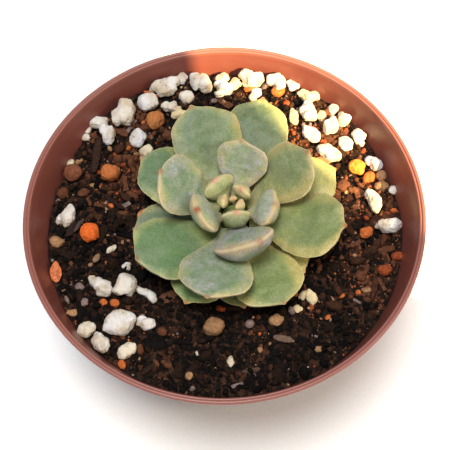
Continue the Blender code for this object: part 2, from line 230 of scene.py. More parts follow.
# White grains that the CAD has no node for: x, y, length, width, turn in degrees, and
# warmth from 0, chalk white, to 1, cream.
SMALL_WHITE = (
    (-29.0, 28.5, 4.4, 3.1, 10, 0.1), (-17.7, 20.7, 3.1, 2.9, 0, 0.7), (-31.8, 27.0, 1.7, 1.6, 0, 0.2),
    (-32.0, 25.0, 2.1, 1.8, 0, 0.2), (-9.5, 39.3, 3.7, 3.2, 0, 0.2), (-12.2, 32.4, 3.6, 3.1, 30, 0.3),
    (-7.8, 34.5, 3.6, 3.3, 0, 0.3), (-9.8, 30.3, 3.6, 3.0, 0, 0.9), (0.8, 39.5, 3.2, 2.8, 0, 0.6),
    (3.9, 37.7, 3.2, 3.0, 0, 1.0), (8.6, 34.6, 3.1, 2.6, 20, 0.1), (17.9, 36.8, 2.9, 2.8, 0, 0.1),
    (21.4, 33.5, 5.1, 3.1, 0, 0.9), (17.6, 28.2, 2.1, 4.5, 0, 1.0), (24.1, 28.2, 2.1, 2.9, 0, 1.0),
    (21.4, 23.5, 4.7, 3.4, -40, 0.2), (27.0, 29.8, 2.9, 2.6, 0, 0.5), (35.7, 15.5, 3.8, 3.6, 0, 0.0),
    (39.5, 8.5, 2.1, 2.0, 0, 0.2), (-30.1, -11.9, 1.8, 2.7, 20, 0.5), (-22.5, -8.3, 2.0, 1.8, 0, 0.0),
    (-31.3, -23.7, 3.7, 3.3, 30, 0.4), (-22.5, -29.0, 4.3, 2.9, 40, 0.5), (18.6, -18.0, 2.2, 3.6, 15, 0.9),
    (16.9, -17.4, 1.5, 2.6, -30, 0.9), (15.5, -20.5, 2.2, 1.9, 0, 1.0), (0.1, -32.1, 1.7, 2.6, 0, 0.5),
    (-35.8, 18.8, 1.6, 2.4, 0, 0.6), (-7.0, -30.0, 1.0, 0.9, 0, 0.1), (26.5, -24.0, 0.9, 0.8, 0, 0.3),
)

# Length, width and turn in degrees of the large grains that lie askew in their box.
TURNED_GRAINS = {
    "perlite_04": (7.2, 4.2, 20), "perlite_08": (3.6, 5.4, -20), "perlite_15": (3.0, 4.2, 35),
    "perlite_16": (5.6, 3.4, -15), "perlite_18": (5.4, 3.6, 20), "perlite_21": (5.4, 2.0, -45),
    "perlite_22": (6.8, 5.2, 10), "perlite_24": (3.4, 4.6, 20),
}

# Clay balls, grit and stones that the CAD has no node for: x, y, length, width, turn
# in degrees, hue.
SMALL_STONE = (
    (-24.3, 22.1, 2.6, 2.4, 0, HUMUS_BROWN), (-37.5, 11.0, 2.8, 2.6, 0, BARK_BROWN),
    (-32.6, 11.0, 2.8, 2.5, 0, BARK_BROWN), (-38.5, -1.5, 3.4, 3.0, 0, GRIT_TAN),
    (-12.5, 24.5, 2.8, 2.6, 0, BARK_BROWN), (34.4, 12.0, 3.0, 2.8, 0, CLAY_ORANGE),
    (28.0, 10.4, 3.5, 3.0, 20, BARK_BROWN), (37.0, 9.6, 3.3, 2.8, 0, GRIT_TAN),
    (37.2, 12.3, 3.0, 2.6, 0, GRIT_TAN), (32.4, -2.1, 3.4, 2.8, 30, CLAY_ORANGE),
    (14.2, 35.5, 3.4, 3.0, 0, CLAY_ORANGE), (7.5, 36.8, 2.9, 2.4, 0, CLAY_ORANGE),
    (-27.8, -16.9, 2.0, 1.8, 0, CLAY_ORANGE), (-25.2, -17.3, 2.2, 1.9, 0, CLAY_ORANGE),
    (-23.5, -31.8, 1.9, 2.3, 10, CLAY_ORANGE), (-34.5, -19.3, 3.1, 1.8, 0, GRIT_TAN),
    (-33.0, -13.0, 2.2, 2.0, 0, GRIT_LILAC), (-32.3, -17.0, 2.4, 2.2, 0, GRIT_LILAC),
    (-26.6, -7.1, 1.6, 1.5, 0, CLAY_ORANGE), (-1.5, -19.8, 2.2, 1.8, 0, CLAY_RUST),
    (10.5, -23.1, 3.3, 2.8, 0, GRIT_TAN), (19.5, -30.1, 1.7, 1.5, 0, GRIT_TAN),
    (6.9, -29.8, 1.3, 1.2, 0, GRIT_TAN), (39.0, -8.2, 2.7, 2.3, 0, CLAY_RUST),
    (35.8, -11.8, 3.4, 2.6, 0, CLAY_RUST), (-8.9, -35.3, 1.9, 1.8, 0, GRIT_TAN),
    (24.5, 22.0, 2.4, 1.6, 30, CLAY_RUST), (16.0, 32.0, 1.8, 1.6, 0, CLAY_RUST),
)

# Bark pieces and flakes too large to be strewn: x, y, lift, length, width, thickness,
# turn and tilt in degrees, hue.
LARGE_BARK = (
    (-29.6, 20.4, 1.0, 9.0, 2.1, 1.3, 82, 8, "33231C"),
    (-35.2, 1.6, 0.8, 5.0, 1.9, 1.0, 70, -12, "2A1F1B"),
    (-33.6, 2.4, 1.0, 4.4, 1.0, 0.8, 60, -10, "4A3D37"),
    (-13.2, -16.4, 0.5, 5.2, 2.6, 0.6, 24, 4, "5B3A2C"),
    (-25.4, 8.0, 0.6, 6.5, 1.2, 0.9, -42, 6, "2B1B15"),
    (33.0, -16.0, 0.5, 5.6, 1.3, 0.9, 75, 5, "4A2C20"),
    (27.5, -20.5, 0.5, 4.6, 1.2, 0.9, -60, 4, "3A241B"),
    (23.6, -19.0, 0.5, 4.4, 0.9, 0.7, -62, 5, "8A6A58"),
    (28.4, 4.6, 0.6, 5.2, 1.2, 0.9, 30, 6, "1C1513"),
    (24.0, 16.8, 1.2, 5.6, 2.4, 0.5, 8, 4, "9A6440"),
    (12.0, -27.5, 0.5, 5.0, 1.5, 0.9, -15, 4, "6A5548"),
    (-6.5, -26.5, 0.5, 4.8, 1.1, 0.8, 55, 4, "3F2A20"),
    (-17.5, -33.0, 0.6, 5.5, 1.2, 0.9, 35, 5, "2A1D18"),
    (4.5, -34.6, 0.5, 4.2, 1.3, 0.9, 5, 5, "4E3A30"),
    (36.5, -3.5, 0.6, 4.8, 1.4, 0.9, 65, 6, "54301F"),
    (-38.4, -9.6, 1.6, 4.8, 2.6, 0.8, 84, 30, "C4714B"),
    (-26.0, -4.2, 1.1, 2.8, 1.4, 0.6, 30, 18, "C9BBA4"),
    (-29.4, -6.2, 1.0, 2.6, 1.3, 0.6, 60, -16, "8C6D54"),
    (-22.0, 4.5, 0.6, 3.6, 1.1, 0.7, 15, 5, "3A241B"),
    (31.0, 8.6, 0.6, 4.0, 1.6, 0.9, -20, 6, "6E4630"),
)


def smoothstep(value):
    """Ease from 0 to 1."""
    value = min(max(value, 0.0), 1.0)
    return value * value * (3.0 - 2.0 * value)


def wall_inner_radius(z):
    """Radius of the pot's inner face at a height above the base."""
    collar_foot = POT_HEIGHT - COLLAR_DEPTH
    inner_foot = COLLAR_FOOT_RADIUS - WALL
    if z >= collar_foot:
        share = (z - collar_foot) / COLLAR_DEPTH
        return inner_foot + share * (RIM_RADIUS - 1.5 - inner_foot)
    share = (z - FLOOR_TOP) / (collar_foot - FLOOR_TOP)
    return (BASE_RADIUS - 0.4) + share * (inner_foot - BASE_RADIUS + 0.4)


def soil_height(y):
    """Height of the soil's mean top, by how far back a place is."""
    return SOIL_EDGE + BANK_HEIGHT * smoothstep((y - BANK_START) / (BANK_END - BANK_START))


def ground(x, y):
    """Height of the crumbly top of the soil, with lumps of 7 mm, 2.6 mm and 1 mm."""
    relief = 0.75 * noise.noise(Vector((x / 7.0, y / 7.0, 3.1)))
    relief += 0.55 * noise.noise(Vector((x / 2.6, y / 2.6, 7.7)))
    relief += 0.25 * noise.noise(Vector((x / 1.0, y / 1.0, 1.9)))
    return soil_height(y) + relief


# Tools for modelling.


def deselect():
    """Object mode, with nothing selected."""
    if bpy.context.mode != "OBJECT":
        bpy.ops.object.mode_set(mode="OBJECT")
    bpy.ops.object.select_all(action="DESELECT")


def activate(obj):
    """Only this object is selected, and it is the active one."""
    deselect()
    obj.select_set(True)
    bpy.context.view_layer.objects.active = obj


def settle(obj, name=None):
    """Give an object its name, and put its place, turn and size into its mesh."""
    if name:
        obj.name = name
        obj.data.name = name
    activate(obj)
    bpy.ops.object.transform_apply(location=True, rotation=True, scale=True)
    return obj


def finish_with(obj, kind, **settings):
    """Add a modifier with its settings and apply it."""
    modifier = obj.modifiers.new(kind.lower(), kind)
    for key, value in settings.items():
        setattr(modifier, key, value)
    activate(obj)
    bpy.ops.object.modifier_apply(modifier=modifier.name)
    return obj


def smooth(obj, degrees=None):
    """Shade smooth, except over edges sharper than an angle."""
    activate(obj)
    if degrees is None:
        bpy.ops.object.shade_smooth()
    else:
        bpy.ops.object.shade_smooth_by_angle(angle=math.radians(degrees))
    return obj


def join(objects, name):
    """One object out of several."""
    deselect()
    for obj in objects:
        obj.select_set(True)
    bpy.context.view_layer.objects.active = objects[0]
    if len(objects) > 1:
        bpy.ops.object.join()
    objects[0].name = name
    objects[0].data.name = name
    return objects[0]


def tag(mesh, name, values, kind="FLOAT"):
    """Store one value, or one colour, for each vertex."""
    attribute = mesh.attributes.new(name, kind, "POINT")
    field = "value" if kind == "FLOAT" else "color"
    attribute.data.foreach_set(field, np.asarray(values, dtype=np.float32).ravel())


def dress(obj, material, slot, *nodes, body="root"):
    """Paint a piece, seat it on its body and hide the CAD nodes it stands for."""
    obj.data.materials.clear()
    obj.data.materials.append(material)
    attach(obj, body)
    if nodes:
        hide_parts(*nodes)
    return obj


def clouds(name, size, depth=2):
    """A soft noise texture for displacement, with lumps of a size."""
    texture = bpy.data.textures.new(name, "CLOUDS")
    texture.noise_scale = size * MM
    texture.noise_depth = depth
    return texture


# Tools for materials.


def linear(code):
    """A linear RGBA colour from an sRGB hex code."""
    parts = [int(code[place:place + 2], 16) / 255.0 for place in (0, 2, 4)]
    return (*[c / 12.92 if c <= 0.04045 else ((c + 0.055) / 1.055) ** 2.4 for c in parts], 1.0)


def add(tree, kind, inputs=None, stops=None, **settings):
    """Add a node with its settings, and set or link its inputs."""
    made = tree.nodes.new("ShaderNode" + kind)
    for key, value in settings.items():
        setattr(made, key, value)
    for key, value in (inputs or {}).items():
        socket = made.inputs[key]
        if isinstance(value, bpy.types.NodeSocket):
            tree.links.new(value, socket)
        else:
            socket.default_value = value
    if stops:
        ramp = made.color_ramp
        for place, code in stops[2:]:
            ramp.elements.new(place)
        for element, (place, code) in zip(ramp.elements, sorted(stops)):
            element.position = place
            element.color = linear(code) if isinstance(code, str) else (code, code, code, 1.0)
    return made


def new_material(name, **constants):
    """A material with a Principled shader whose constant sockets are set."""
    material = bpy.data.materials.new(name)
    material.use_nodes = True
    shader = material.node_tree.nodes["Principled BSDF"]
    for key, value in constants.items():
        shader.inputs[key.replace("_", " ")].default_value = value
    return material, material.node_tree, shader


def blend_colour(tree, factor, first, second, mode="MIX"):
    """The colour output of a mix of two colours."""
    mix = add(tree, "Mix", {0: factor, 6: first, 7: second}, data_type="RGBA", blend_type=mode)
    return mix.outputs[2]


# Materials.


def moulded_polypropylene():
    """Terracotta-brown polypropylene, injection moulded: a satin skin with a soft
    sheen, faint flow streaks round the wall, a little dust from the soil, and a paler
    pink painted sheen on the lip, where it would catch reflected light. Its clouds are
    14 mm wide, its skin has a grain of 0.4 mm, its streaks are 17 mm long and 1 mm
    high, and its dust lies in specks 2.4 mm apart."""
    material, tree, shader = new_material(
        "moulded_polypropylene", IOR=1.49, Coat_Weight=0.05, Coat_Roughness=0.35,
        Subsurface_Weight=0.06, Subsurface_Radius=(0.0012, 0.0005, 0.0003), Subsurface_Scale=1.0,
    )
    place = add(tree, "TexCoord").outputs["Object"]
    broad = add(tree, "TexNoise", {"Vector": place, "Scale": 70.0, "Detail": 3.0})
    fine = add(tree, "TexNoise", {"Vector": place, "Scale": 2600.0, "Detail": 2.0})
    flat = add(tree, "Mapping", {"Vector": place, "Scale": (60.0, 60.0, 900.0)})
    streak = add(tree, "TexNoise", {"Vector": flat.outputs[0], "Scale": 1.0, "Detail": 2.0})
    body = add(tree, "ValToRGB", {"Fac": broad.outputs[0]}, stops=[(0.3, "713E35"), (0.7, "7D443B")])
    streaked = blend_colour(tree, 0.10, body.outputs[0], streak.outputs["Color"], "SOFT_LIGHT")
    grit = add(tree, "TexVoronoi", {"Vector": place, "Scale": 420.0})
    speck = add(tree, "ValToRGB", {"Fac": grit.outputs["Distance"]}, stops=[(0.05, 1.0), (0.09, 0.0)])
    sparse = add(tree, "ValToRGB", {"Fac": broad.outputs[0]}, stops=[(0.56, 0.0), (0.62, 1.0)])
    dust = add(tree, "Math", {0: speck.outputs[0], 1: sparse.outputs[0]}, operation="MULTIPLY")
    dusty = blend_colour(tree, dust.outputs[0], streaked, linear("6B4A3A"))
    height = add(tree, "SeparateXYZ", {0: place}).outputs["Z"]
    # Painted sheen: the top of the lip is tinted a paler pink, where it would catch reflected light.
    lip = add(tree, "MapRange", {
        "Value": height, "From Min": (POT_HEIGHT - 1.3) * MM, "From Max": (POT_HEIGHT - 0.5) * MM,
        "To Min": 0.0, "To Max": 0.30,
    })
    colour = blend_colour(tree, lip.outputs[0], dusty, linear("B2776B"))
    tree.links.new(colour, shader.inputs["Base Color"])
    rough = add(tree, "MapRange", {"Value": broad.outputs[0], "To Min": 0.34, "To Max": 0.46})
    tree.links.new(rough.outputs[0], shader.inputs["Roughness"])
    relief = add(tree, "Math", {0: fine.outputs[0], 1: streak.outputs[0]}, operation="ADD")
    bump = add(tree, "Bump", {"Height": relief.outputs[0], "Strength": 0.12, "Distance": 0.00008})
    tree.links.new(bump.outputs[0], shader.inputs["Normal"])
    return material


def moist_peat():
    """Dark moist peat, screened to crumbs of 1.4 mm with a grain of 0.4 mm: nearly
    black, matt, with a dim gloss where it is wet."""
    material, tree, shader = new_material("moist_peat", IOR=1.4, Specular_IOR_Level=0.15)
    place = add(tree, "TexCoord").outputs["Object"]
    coarse = add(tree, "TexNoise", {"Vector": place, "Scale": 700.0, "Detail": 4.0})
    fine = add(tree, "TexNoise", {"Vector": place, "Scale": 2800.0, "Detail": 3.0})
    stops = [(0.38, PEAT_BLACK), (0.62, HUMUS_BROWN), (0.52, PEAT_BROWN)]
    colour = add(tree, "ValToRGB", {"Fac": coarse.outputs[0]}, stops=stops)
    tree.links.new(colour.outputs[0], shader.inputs["Base Color"])
    rough = add(tree, "MapRange", {"Value": fine.outputs[0], "To Min": 0.55, "To Max": 1.0})
    tree.links.new(rough.outputs[0], shader.inputs["Roughness"])
    bump = add(tree, "Bump", {"Height": fine.outputs[0], "Strength": 0.8, "Distance": 0.0002})
    tree.links.new(bump.outputs[0], shader.inputs["Normal"])
    return material


def tinted_crumb(name, roughness, mottle):
    """Loose crumbs, each with a tint of its own: mottled and pitted every 0.7 mm,
    without gloss."""
    material, tree, shader = new_material(name, IOR=1.45, Roughness=roughness, Specular_IOR_Level=0.12)
    place = add(tree, "TexCoord").outputs["Object"]
    tint = add(tree, "Attribute", attribute_name="tint").outputs["Color"]
    grain = add(tree, "TexNoise", {"Vector": place, "Scale": 1500.0, "Detail": 3.0})
    shade = add(tree, "MapRange", {
        "Value": grain.outputs[0], "From Min": 0.3, "From Max": 0.7,
        "To Min": 1.0 - mottle, "To Max": 1.0 + mottle,
    })
    colour = blend_colour(tree, 1.0, tint, shade.outputs[0], "MULTIPLY")
    tree.links.new(colour, shader.inputs["Base Color"])
    bump = add(tree, "Bump", {"Height": grain.outputs[0], "Strength": 0.6, "Distance": 0.00025})
    tree.links.new(bump.outputs[0], shader.inputs["Normal"])
    return material


def expanded_perlite():
    """Perlite, volcanic glass popped by heat: chalk white, cellular and matt, with
    creamy stains 3 mm wide and pits, 1.1 mm apart, that hold dark soil dust."""
    material, tree, shader = new_material(
        "expanded_perlite", IOR=1.5, Roughness=0.85, Subsurface_Weight=0.10,
        Subsurface_Radius=(0.0008, 0.0007, 0.0006), Subsurface_Scale=1.0,
    )
    place = add(tree, "TexCoord").outputs["Object"]
    warmth = add(tree, "Attribute", attribute_name="warmth").outputs["Fac"]
    clean = blend_colour(tree, warmth, linear("D3D0D0"), linear("DCC68E"))
    stain = add(tree, "TexNoise", {"Vector": place, "Scale": 330.0, "Detail": 3.0})
    stained = add(tree, "ValToRGB", {"Fac": stain.outputs[0]}, stops=[(0.42, 0.0), (0.64, 0.80)])
    cream = blend_colour(tree, stained.outputs[0], clean, linear("B5A285"))
    cell = add(tree, "TexVoronoi", {"Vector": place, "Scale": 900.0, "Randomness": 1.0})
    pit = add(tree, "ValToRGB", {"Fac": cell.outputs["Distance"]}, stops=[(0.10, 1.0), (0.22, 0.0)])
    few = add(tree, "ValToRGB", {"Fac": stain.outputs[0]}, stops=[(0.50, 0.0), (0.60, 0.8)])
    dirt = add(tree, "Math", {0: pit.outputs[0], 1: few.outputs[0]}, operation="MULTIPLY")
    colour = blend_colour(tree, dirt.outputs[0], cream, linear("4A3B30"))
    tree.links.new(colour, shader.inputs["Base Color"])
    fine = add(tree, "TexNoise", {"Vector": place, "Scale": 1900.0, "Detail": 3.0})
    relief = add(tree, "Math", {0: fine.outputs[0], 1: pit.outputs[0]}, operation="SUBTRACT")
    bump = add(tree, "Bump", {"Height": relief.outputs[0], "Strength": 0.5, "Distance": 0.00025})
    tree.links.new(bump.outputs[0], shader.inputs["Normal"])
    return material


def leaf_readings(tree):
    """What a leaf's material reads: the values that its blade carries, and noises of
    three sizes: patches of 6 mm, blotches of 1.6 mm and powder of 0.3 mm."""
    read = {"place": add(tree, "TexCoord").outputs["Object"]}
    for trait in ("along", "edge", "tip", "bloom", "gold", "blush", "ridge", "tone", "mark"):
        read[trait] = add(tree, "Attribute", attribute_name="leaf_" + trait).outputs["Fac"]
    for noise_name, scale, detail, roughness in (
        ("patch", 165.0, 3.0, 0.5), ("blotch", 620.0, 4.0, 0.6), ("powder", 3000.0, 2.0, 0.5),
    ):
        inputs = {"Vector": read["place"], "Scale": scale, "Detail": detail, "Roughness": roughness}
        read[noise_name] = add(tree, "TexNoise", inputs).outputs[0]
    read["swing"] = add(tree, "MapRange", {
        "Value": read["patch"], "From Min": 0.32, "From Max": 0.68, "To Min": 0.25, "To Max": 1.25,
    }).outputs[0]
    read["worn"] = add(tree, "MapRange", {
        "Value": read["blotch"], "From Min": 0.36, "From Max": 0.62, "To Min": 0.45, "To Max": 1.0,
    }).outputs[0]
    return read


def flesh_colour(tree, read, deep, middle, gold):
    """Flesh: deep green in the middle of the blade, golden towards base and margin."""
    base = add(tree, "MapRange", {
        "Value": read["along"], "From Min": 0.15, "From Max": 0.62, "To Min": 0.60, "To Max": 0.0,
    })
    near = add(tree, "MapRange", {
        "Value": read["edge"], "From Min": 0.2, "From Max": 3.6, "To Min": 0.78, "To Max": 0.0,
    })
    flush = add(tree, "Math", {0: base.outputs[0], 1: near.outputs[0]}, operation="MAXIMUM")
    uneven = add(tree, "Math", {0: read["swing"], 1: flush.outputs[0]}, operation="MULTIPLY")
    # The gold read here carries painted warm light on the right side of the rosette.
    lifted = add(tree, "Math", {0: read["gold"], 1: 0.62, 2: uneven.outputs[0]}, operation="MULTIPLY_ADD")
    mottled = add(
        tree, "Math", {0: read["blotch"], 1: 0.45, 2: lifted.outputs[0]}, operation="MULTIPLY_ADD",
    )
    level = add(tree, "MapRange", {"Value": mottled.outputs[0], "From Min": 0.35, "From Max": 1.32})
    stops = [(0.0, deep), (1.0, gold), (0.48, middle)]
    return add(tree, "ValToRGB", {"Fac": level.outputs[0]}, stops=stops).outputs[0]


def bloom_cover(tree, read):
    """How thickly the wax bloom lies: it is rubbed thin in patches."""
    away = add(tree, "MapRange", {
        "Value": read["patch"], "From Min": 0.35, "From Max": 0.60, "To Min": 1.0, "To Max": 0.45,
    })
    cover = add(tree, "Math", {0: read["worn"], 1: away.outputs[0]}, operation="MULTIPLY")
    # The bloom read here is thinned on the right side of the rosette as painted warm light.
    return add(tree, "Math", {0: cover.outputs[0], 1: read["bloom"]}, operation="MULTIPLY").outputs[0]


def wax_bloom(tree, read, cover, flesh):
    """Bloom: grey-green wax, lavender in the larger blotches."""
    wax = blend_colour(tree, read["blotch"], linear("95A08E"), linear("B4A6B4"))
    return blend_colour(tree, cover, flesh, wax)


def stress_tint(tree, read, below):
    """Stress: a dull rose-brown that creeps in from the margin."""
    creep = add(tree, "MapRange", {
        "Value": read["edge"], "From Min": 0.3, "From Max": 3.0, "To Min": 0.42, "To Max": 0.0,
    }, interpolation_type="SMOOTHSTEP")
    patchy = add(tree, "Math", {0: creep.outputs[0], 1: read["swing"]}, operation="MULTIPLY")
    stress = add(tree, "Math", {0: patchy.outputs[0], 1: read["bloom"]}, operation="MULTIPLY")
    return blend_colour(tree, stress.outputs[0], below, linear("A38D72"))


def olive_marks_and_shade(tree, read, below):
    """Olive-brown patches that break up into grains at their edge; the broad one on leaf 11 is painted
    shade.
    """
    grainy = add(tree, "MapRange", {
        "Value": read["powder"], "From Min": 0.35, "From Max": 0.60, "To Min": 0.45, "To Max": 1.25,
    })
    patched = add(
        tree, "Math", {0: read["mark"], 1: grainy.outputs[0]}, operation="MULTIPLY", use_clamp=True,
    )
    return blend_colour(tree, patched.outputs[0], below, linear("5E5A38"))


def brown_specks(tree, read, below):
    """Specks: tiny dark-brown dots, drawn about 0.2 mm wide so that they show."""
    dots = add(tree, "TexVoronoi", {"Vector": read["place"], "Scale": 1250.0})
    dot = add(tree, "ValToRGB", {"Fac": dots.outputs["Distance"]}, stops=[(0.12, 1.0), (0.26, 0.0)])
    region = add(tree, "MapRange", {
        "Value": read["blotch"], "From Min": 0.50, "From Max": 0.66, "To Min": 0.0, "To Max": 0.85,
    })
    speck = add(tree, "Math", {0: dot.outputs[0], 1: region.outputs[0]}, operation="MULTIPLY")
    dense = add(tree, "Math", {0: speck.outputs[0], 1: read["bloom"]}, operation="MULTIPLY")
    return blend_colour(tree, dense.outputs[0], below, linear("45432A"))


def powder_grain(tree, read, below):
    """Powder: a fine grain over all of it, and each leaf's lightness, partly its own tone and partly
    painted shade.
    """
    grain = add(tree, "MapRange", {
        "Value": read["powder"], "From Min": 0.30, "From Max": 0.70, "To Min": 0.79, "To Max": 1.21,
    })
    # Painted shade: the tone makes some lower leaves darker where others shade them.
    lightness = add(tree, "Math", {0: grain.outputs[0], 1: read["tone"]}, operation="MULTIPLY")
    return blend_colour(tree, 1.0, below, lightness.outputs[0], "MULTIPLY")


def pale_margin(tree, read, below):
    """Margin: a cream line of 0.3 mm round the blade."""
    rim = add(tree, "MapRange", {
        "Value": read["edge"], "From Min": 0.03, "From Max": 0.34, "To Min": 0.62, "To Max": 0.0,
    }, interpolation_type="SMOOTHSTEP")
    line = blend_colour(tree, read["bloom"], linear("DCCB92"), linear("CFC3A4"))
    return blend_colour(tree, rim.outputs[0], below, line)


def sunned_margin(tree, read, below):
    """Sunned margin: ochre to orange over 1 mm along the exposed outer edges."""
    ridge = add(tree, "MapRange", {
        "Value": read["edge"], "From Min": 0.05, "From Max": 1.1, "To Min": 0.85, "To Max": 0.0,
    }, interpolation_type="SMOOTHSTEP")
    outer = add(tree, "MapRange", {
        "Value": read["along"], "From Min": 0.55, "From Max": 0.85, "To Min": 0.05, "To Max": 1.0,
    }, interpolation_type="SMOOTHSTEP")
    burnt = add(tree, "Math", {0: ridge.outputs[0], 1: outer.outputs[0]}, operation="MULTIPLY")
    sunned = add(tree, "Math", {0: burnt.outputs[0], 1: read["ridge"]}, operation="MULTIPLY")
    ochre = blend_colour(tree, read["blotch"], linear("D0AC62"), linear("B9804E"))
    return blend_colour(tree, sunned.outputs[0], below, ochre)


def blushed_point(tree, read, below, tip):
    """Point: pink to red-brown over 1.6 mm, streaked by the worn bloom."""
    point = add(tree, "MapRange", {
        "Value": read["tip"], "From Min": 0.2, "From Max": 1.6, "To Min": 1.0, "To Max": 0.0,
    }, interpolation_type="SMOOTHSTEP")
    streaky = add(tree, "Math", {0: point.outputs[0], 1: read["worn"]}, operation="MULTIPLY")
    blush = add(tree, "Math", {0: streaky.outputs[0], 1: read["blush"]}, operation="MULTIPLY")
    return blend_colour(tree, blush.outputs[0], below, linear(tip))


def leaf_flesh(name, deep, middle, gold, tip):
    """Living succulent leaf: translucent flesh under a powdery wax bloom that is
    rubbed off in patches, a pale thin margin, a red-brown point and fine specks."""
    material, tree, shader = new_material(
        name, IOR=1.42, Subsurface_Weight=0.12, Subsurface_Radius=(0.0010, 0.0013, 0.0004),
        Subsurface_Scale=1.0, Sheen_Weight=0.08, Sheen_Roughness=0.6,
    )
    read = leaf_readings(tree)
    cover = bloom_cover(tree, read)
    colour = wax_bloom(tree, read, cover, flesh_colour(tree, read, deep, middle, gold))
    for layer in (stress_tint, olive_marks_and_shade, brown_specks, powder_grain, pale_margin, sunned_margin):
        colour = layer(tree, read, colour)
    tree.links.new(blushed_point(tree, read, colour, tip), shader.inputs["Base Color"])
    gloss = add(tree, "MapRange", {"Value": cover, "To Min": 0.42, "To Max": 0.70})
    tree.links.new(gloss.outputs[0], shader.inputs["Roughness"])
    relief = add(tree, "Math", {0: read["powder"], 1: 0.30, 2: read["blotch"]}, operation="MULTIPLY_ADD")
    bump = add(tree, "Bump", {"Height": relief.outputs[0], "Strength": 0.45, "Distance": 0.0004})
    tree.links.new(bump.outputs[0], shader.inputs["Normal"])
    return material


def corky_stem():
    """Young succulent stem: green flesh going corky brown towards the soil, with
    cracks 1.1 mm apart."""
    material, tree, shader = new_material("corky_stem", IOR=1.42, Roughness=0.6)
    place = add(tree, "TexCoord").outputs["Object"]
    height = add(tree, "SeparateXYZ", {0: place})
    bark = add(tree, "TexNoise", {"Vector": place, "Scale": 900.0, "Detail": 3.0})
    shift = add(tree, "Math", {0: bark.outputs[0], 1: 0.004, 2: 0.0}, operation="MULTIPLY_ADD")
    tree.links.new(height.outputs["Z"], shift.inputs[2])
    green = add(tree, "MapRange", {"Value": shift.outputs[0], "From Min": 0.042, "From Max": 0.047})
    colour = blend_colour(tree, green.outputs[0], linear("6E5638"), linear("93A45E"))
    tree.links.new(colour, shader.inputs["Base Color"])
    bump = add(tree, "Bump", {"Height": bark.outputs[0], "Strength": 0.5, "Distance": 0.0003})
    tree.links.new(bump.outputs[0], shader.inputs["Normal"])
    return material


def papery_leaf():
    """A dead leaf dried to paper: orange-brown, with veins 4 mm long and 0.6 mm apart,
    thin enough to let some light through."""
    material, tree, shader = new_material(
        "papery_dead_leaf", IOR=1.4, Roughness=0.62, Subsurface_Weight=0.15,
        Subsurface_Radius=(0.0010, 0.0005, 0.0002), Subsurface_Scale=1.0,
    )
    place = add(tree, "TexCoord").outputs["Object"]
    drawn = add(tree, "Mapping", {"Vector": place, "Scale": (250.0, 1700.0, 900.0)})
    vein = add(tree, "TexNoise", {"Vector": drawn.outputs[0], "Scale": 1.0, "Detail": 3.0})
    stops = [(0.3, "7A4526"), (0.75, "DDA066"), (0.5, "BC7844")]
    colour = add(tree, "ValToRGB", {"Fac": vein.outputs[0]}, stops=stops)
    tree.links.new(colour.outputs[0], shader.inputs["Base Color"])
    bump = add(tree, "Bump", {"Height": vein.outputs[0], "Strength": 0.6, "Distance": 0.0003})
    tree.links.new(bump.outputs[0], shader.inputs["Normal"])
    return material


def studio_floor():
    """Seamless white studio paper, matt, with a pulp grain of 1.1 mm."""
    material, tree, shader = new_material("studio_paper", Roughness=0.95)
    place = add(tree, "TexCoord").outputs["Object"]
    pulp = add(tree, "TexNoise", {"Vector": place, "Scale": 900.0, "Detail": 2.0})
    colour = add(tree, "ValToRGB", {"Fac": pulp.outputs[0]}, stops=[(0.3, "F7F7F6"), (0.7, "FBFBFA")])
    tree.links.new(colour.outputs[0], shader.inputs["Base Color"])
    return material


# Pot.


def turned(name, profile, steps):
    """A point drawn out along a profile of (radius, height), then spun about Z."""
    deselect()
    bpy.ops.mesh.primitive_plane_add(size=MM)
    obj = bpy.context.object
    bpy.ops.object.mode_set(mode="EDIT")
    bpy.ops.mesh.select_all(action="SELECT")
    bpy.ops.mesh.merge(type="CENTER")
    radius, height = profile[0]
    bpy.ops.transform.translate(value=(radius * MM, 0.0, height * MM))
    for next_radius, next_height in profile[1:]:
        move = ((next_radius - radius) * MM, 0.0, (next_height - height) * MM)
        bpy.ops.mesh.extrude_vertices_move(TRANSFORM_OT_translate={"value": move})
        radius, height = next_radius, next_height
    bpy.ops.mesh.select_all(action="SELECT")
    bpy.ops.mesh.spin(steps=steps, angle=2.0 * math.pi, center=(0.0, 0.0, 0.0), axis=(0.0, 0.0, 1.0))
    bpy.ops.mesh.select_all(action="SELECT")
    bpy.ops.mesh.remove_doubles(threshold=0.000002)
    bpy.ops.mesh.normals_make_consistent(inside=False)
    return settle(obj, name)


def arc(centre_r, centre_z, radius, start, end, count):
    """Points along an arc, by its angles in degrees."""
    points = []
    for step in range(count):
        angle = math.radians(start + (end - start) * step / (count - 1))
        points.append((centre_r + radius * math.cos(angle), centre_z + radius * math.sin(angle)))
    return points


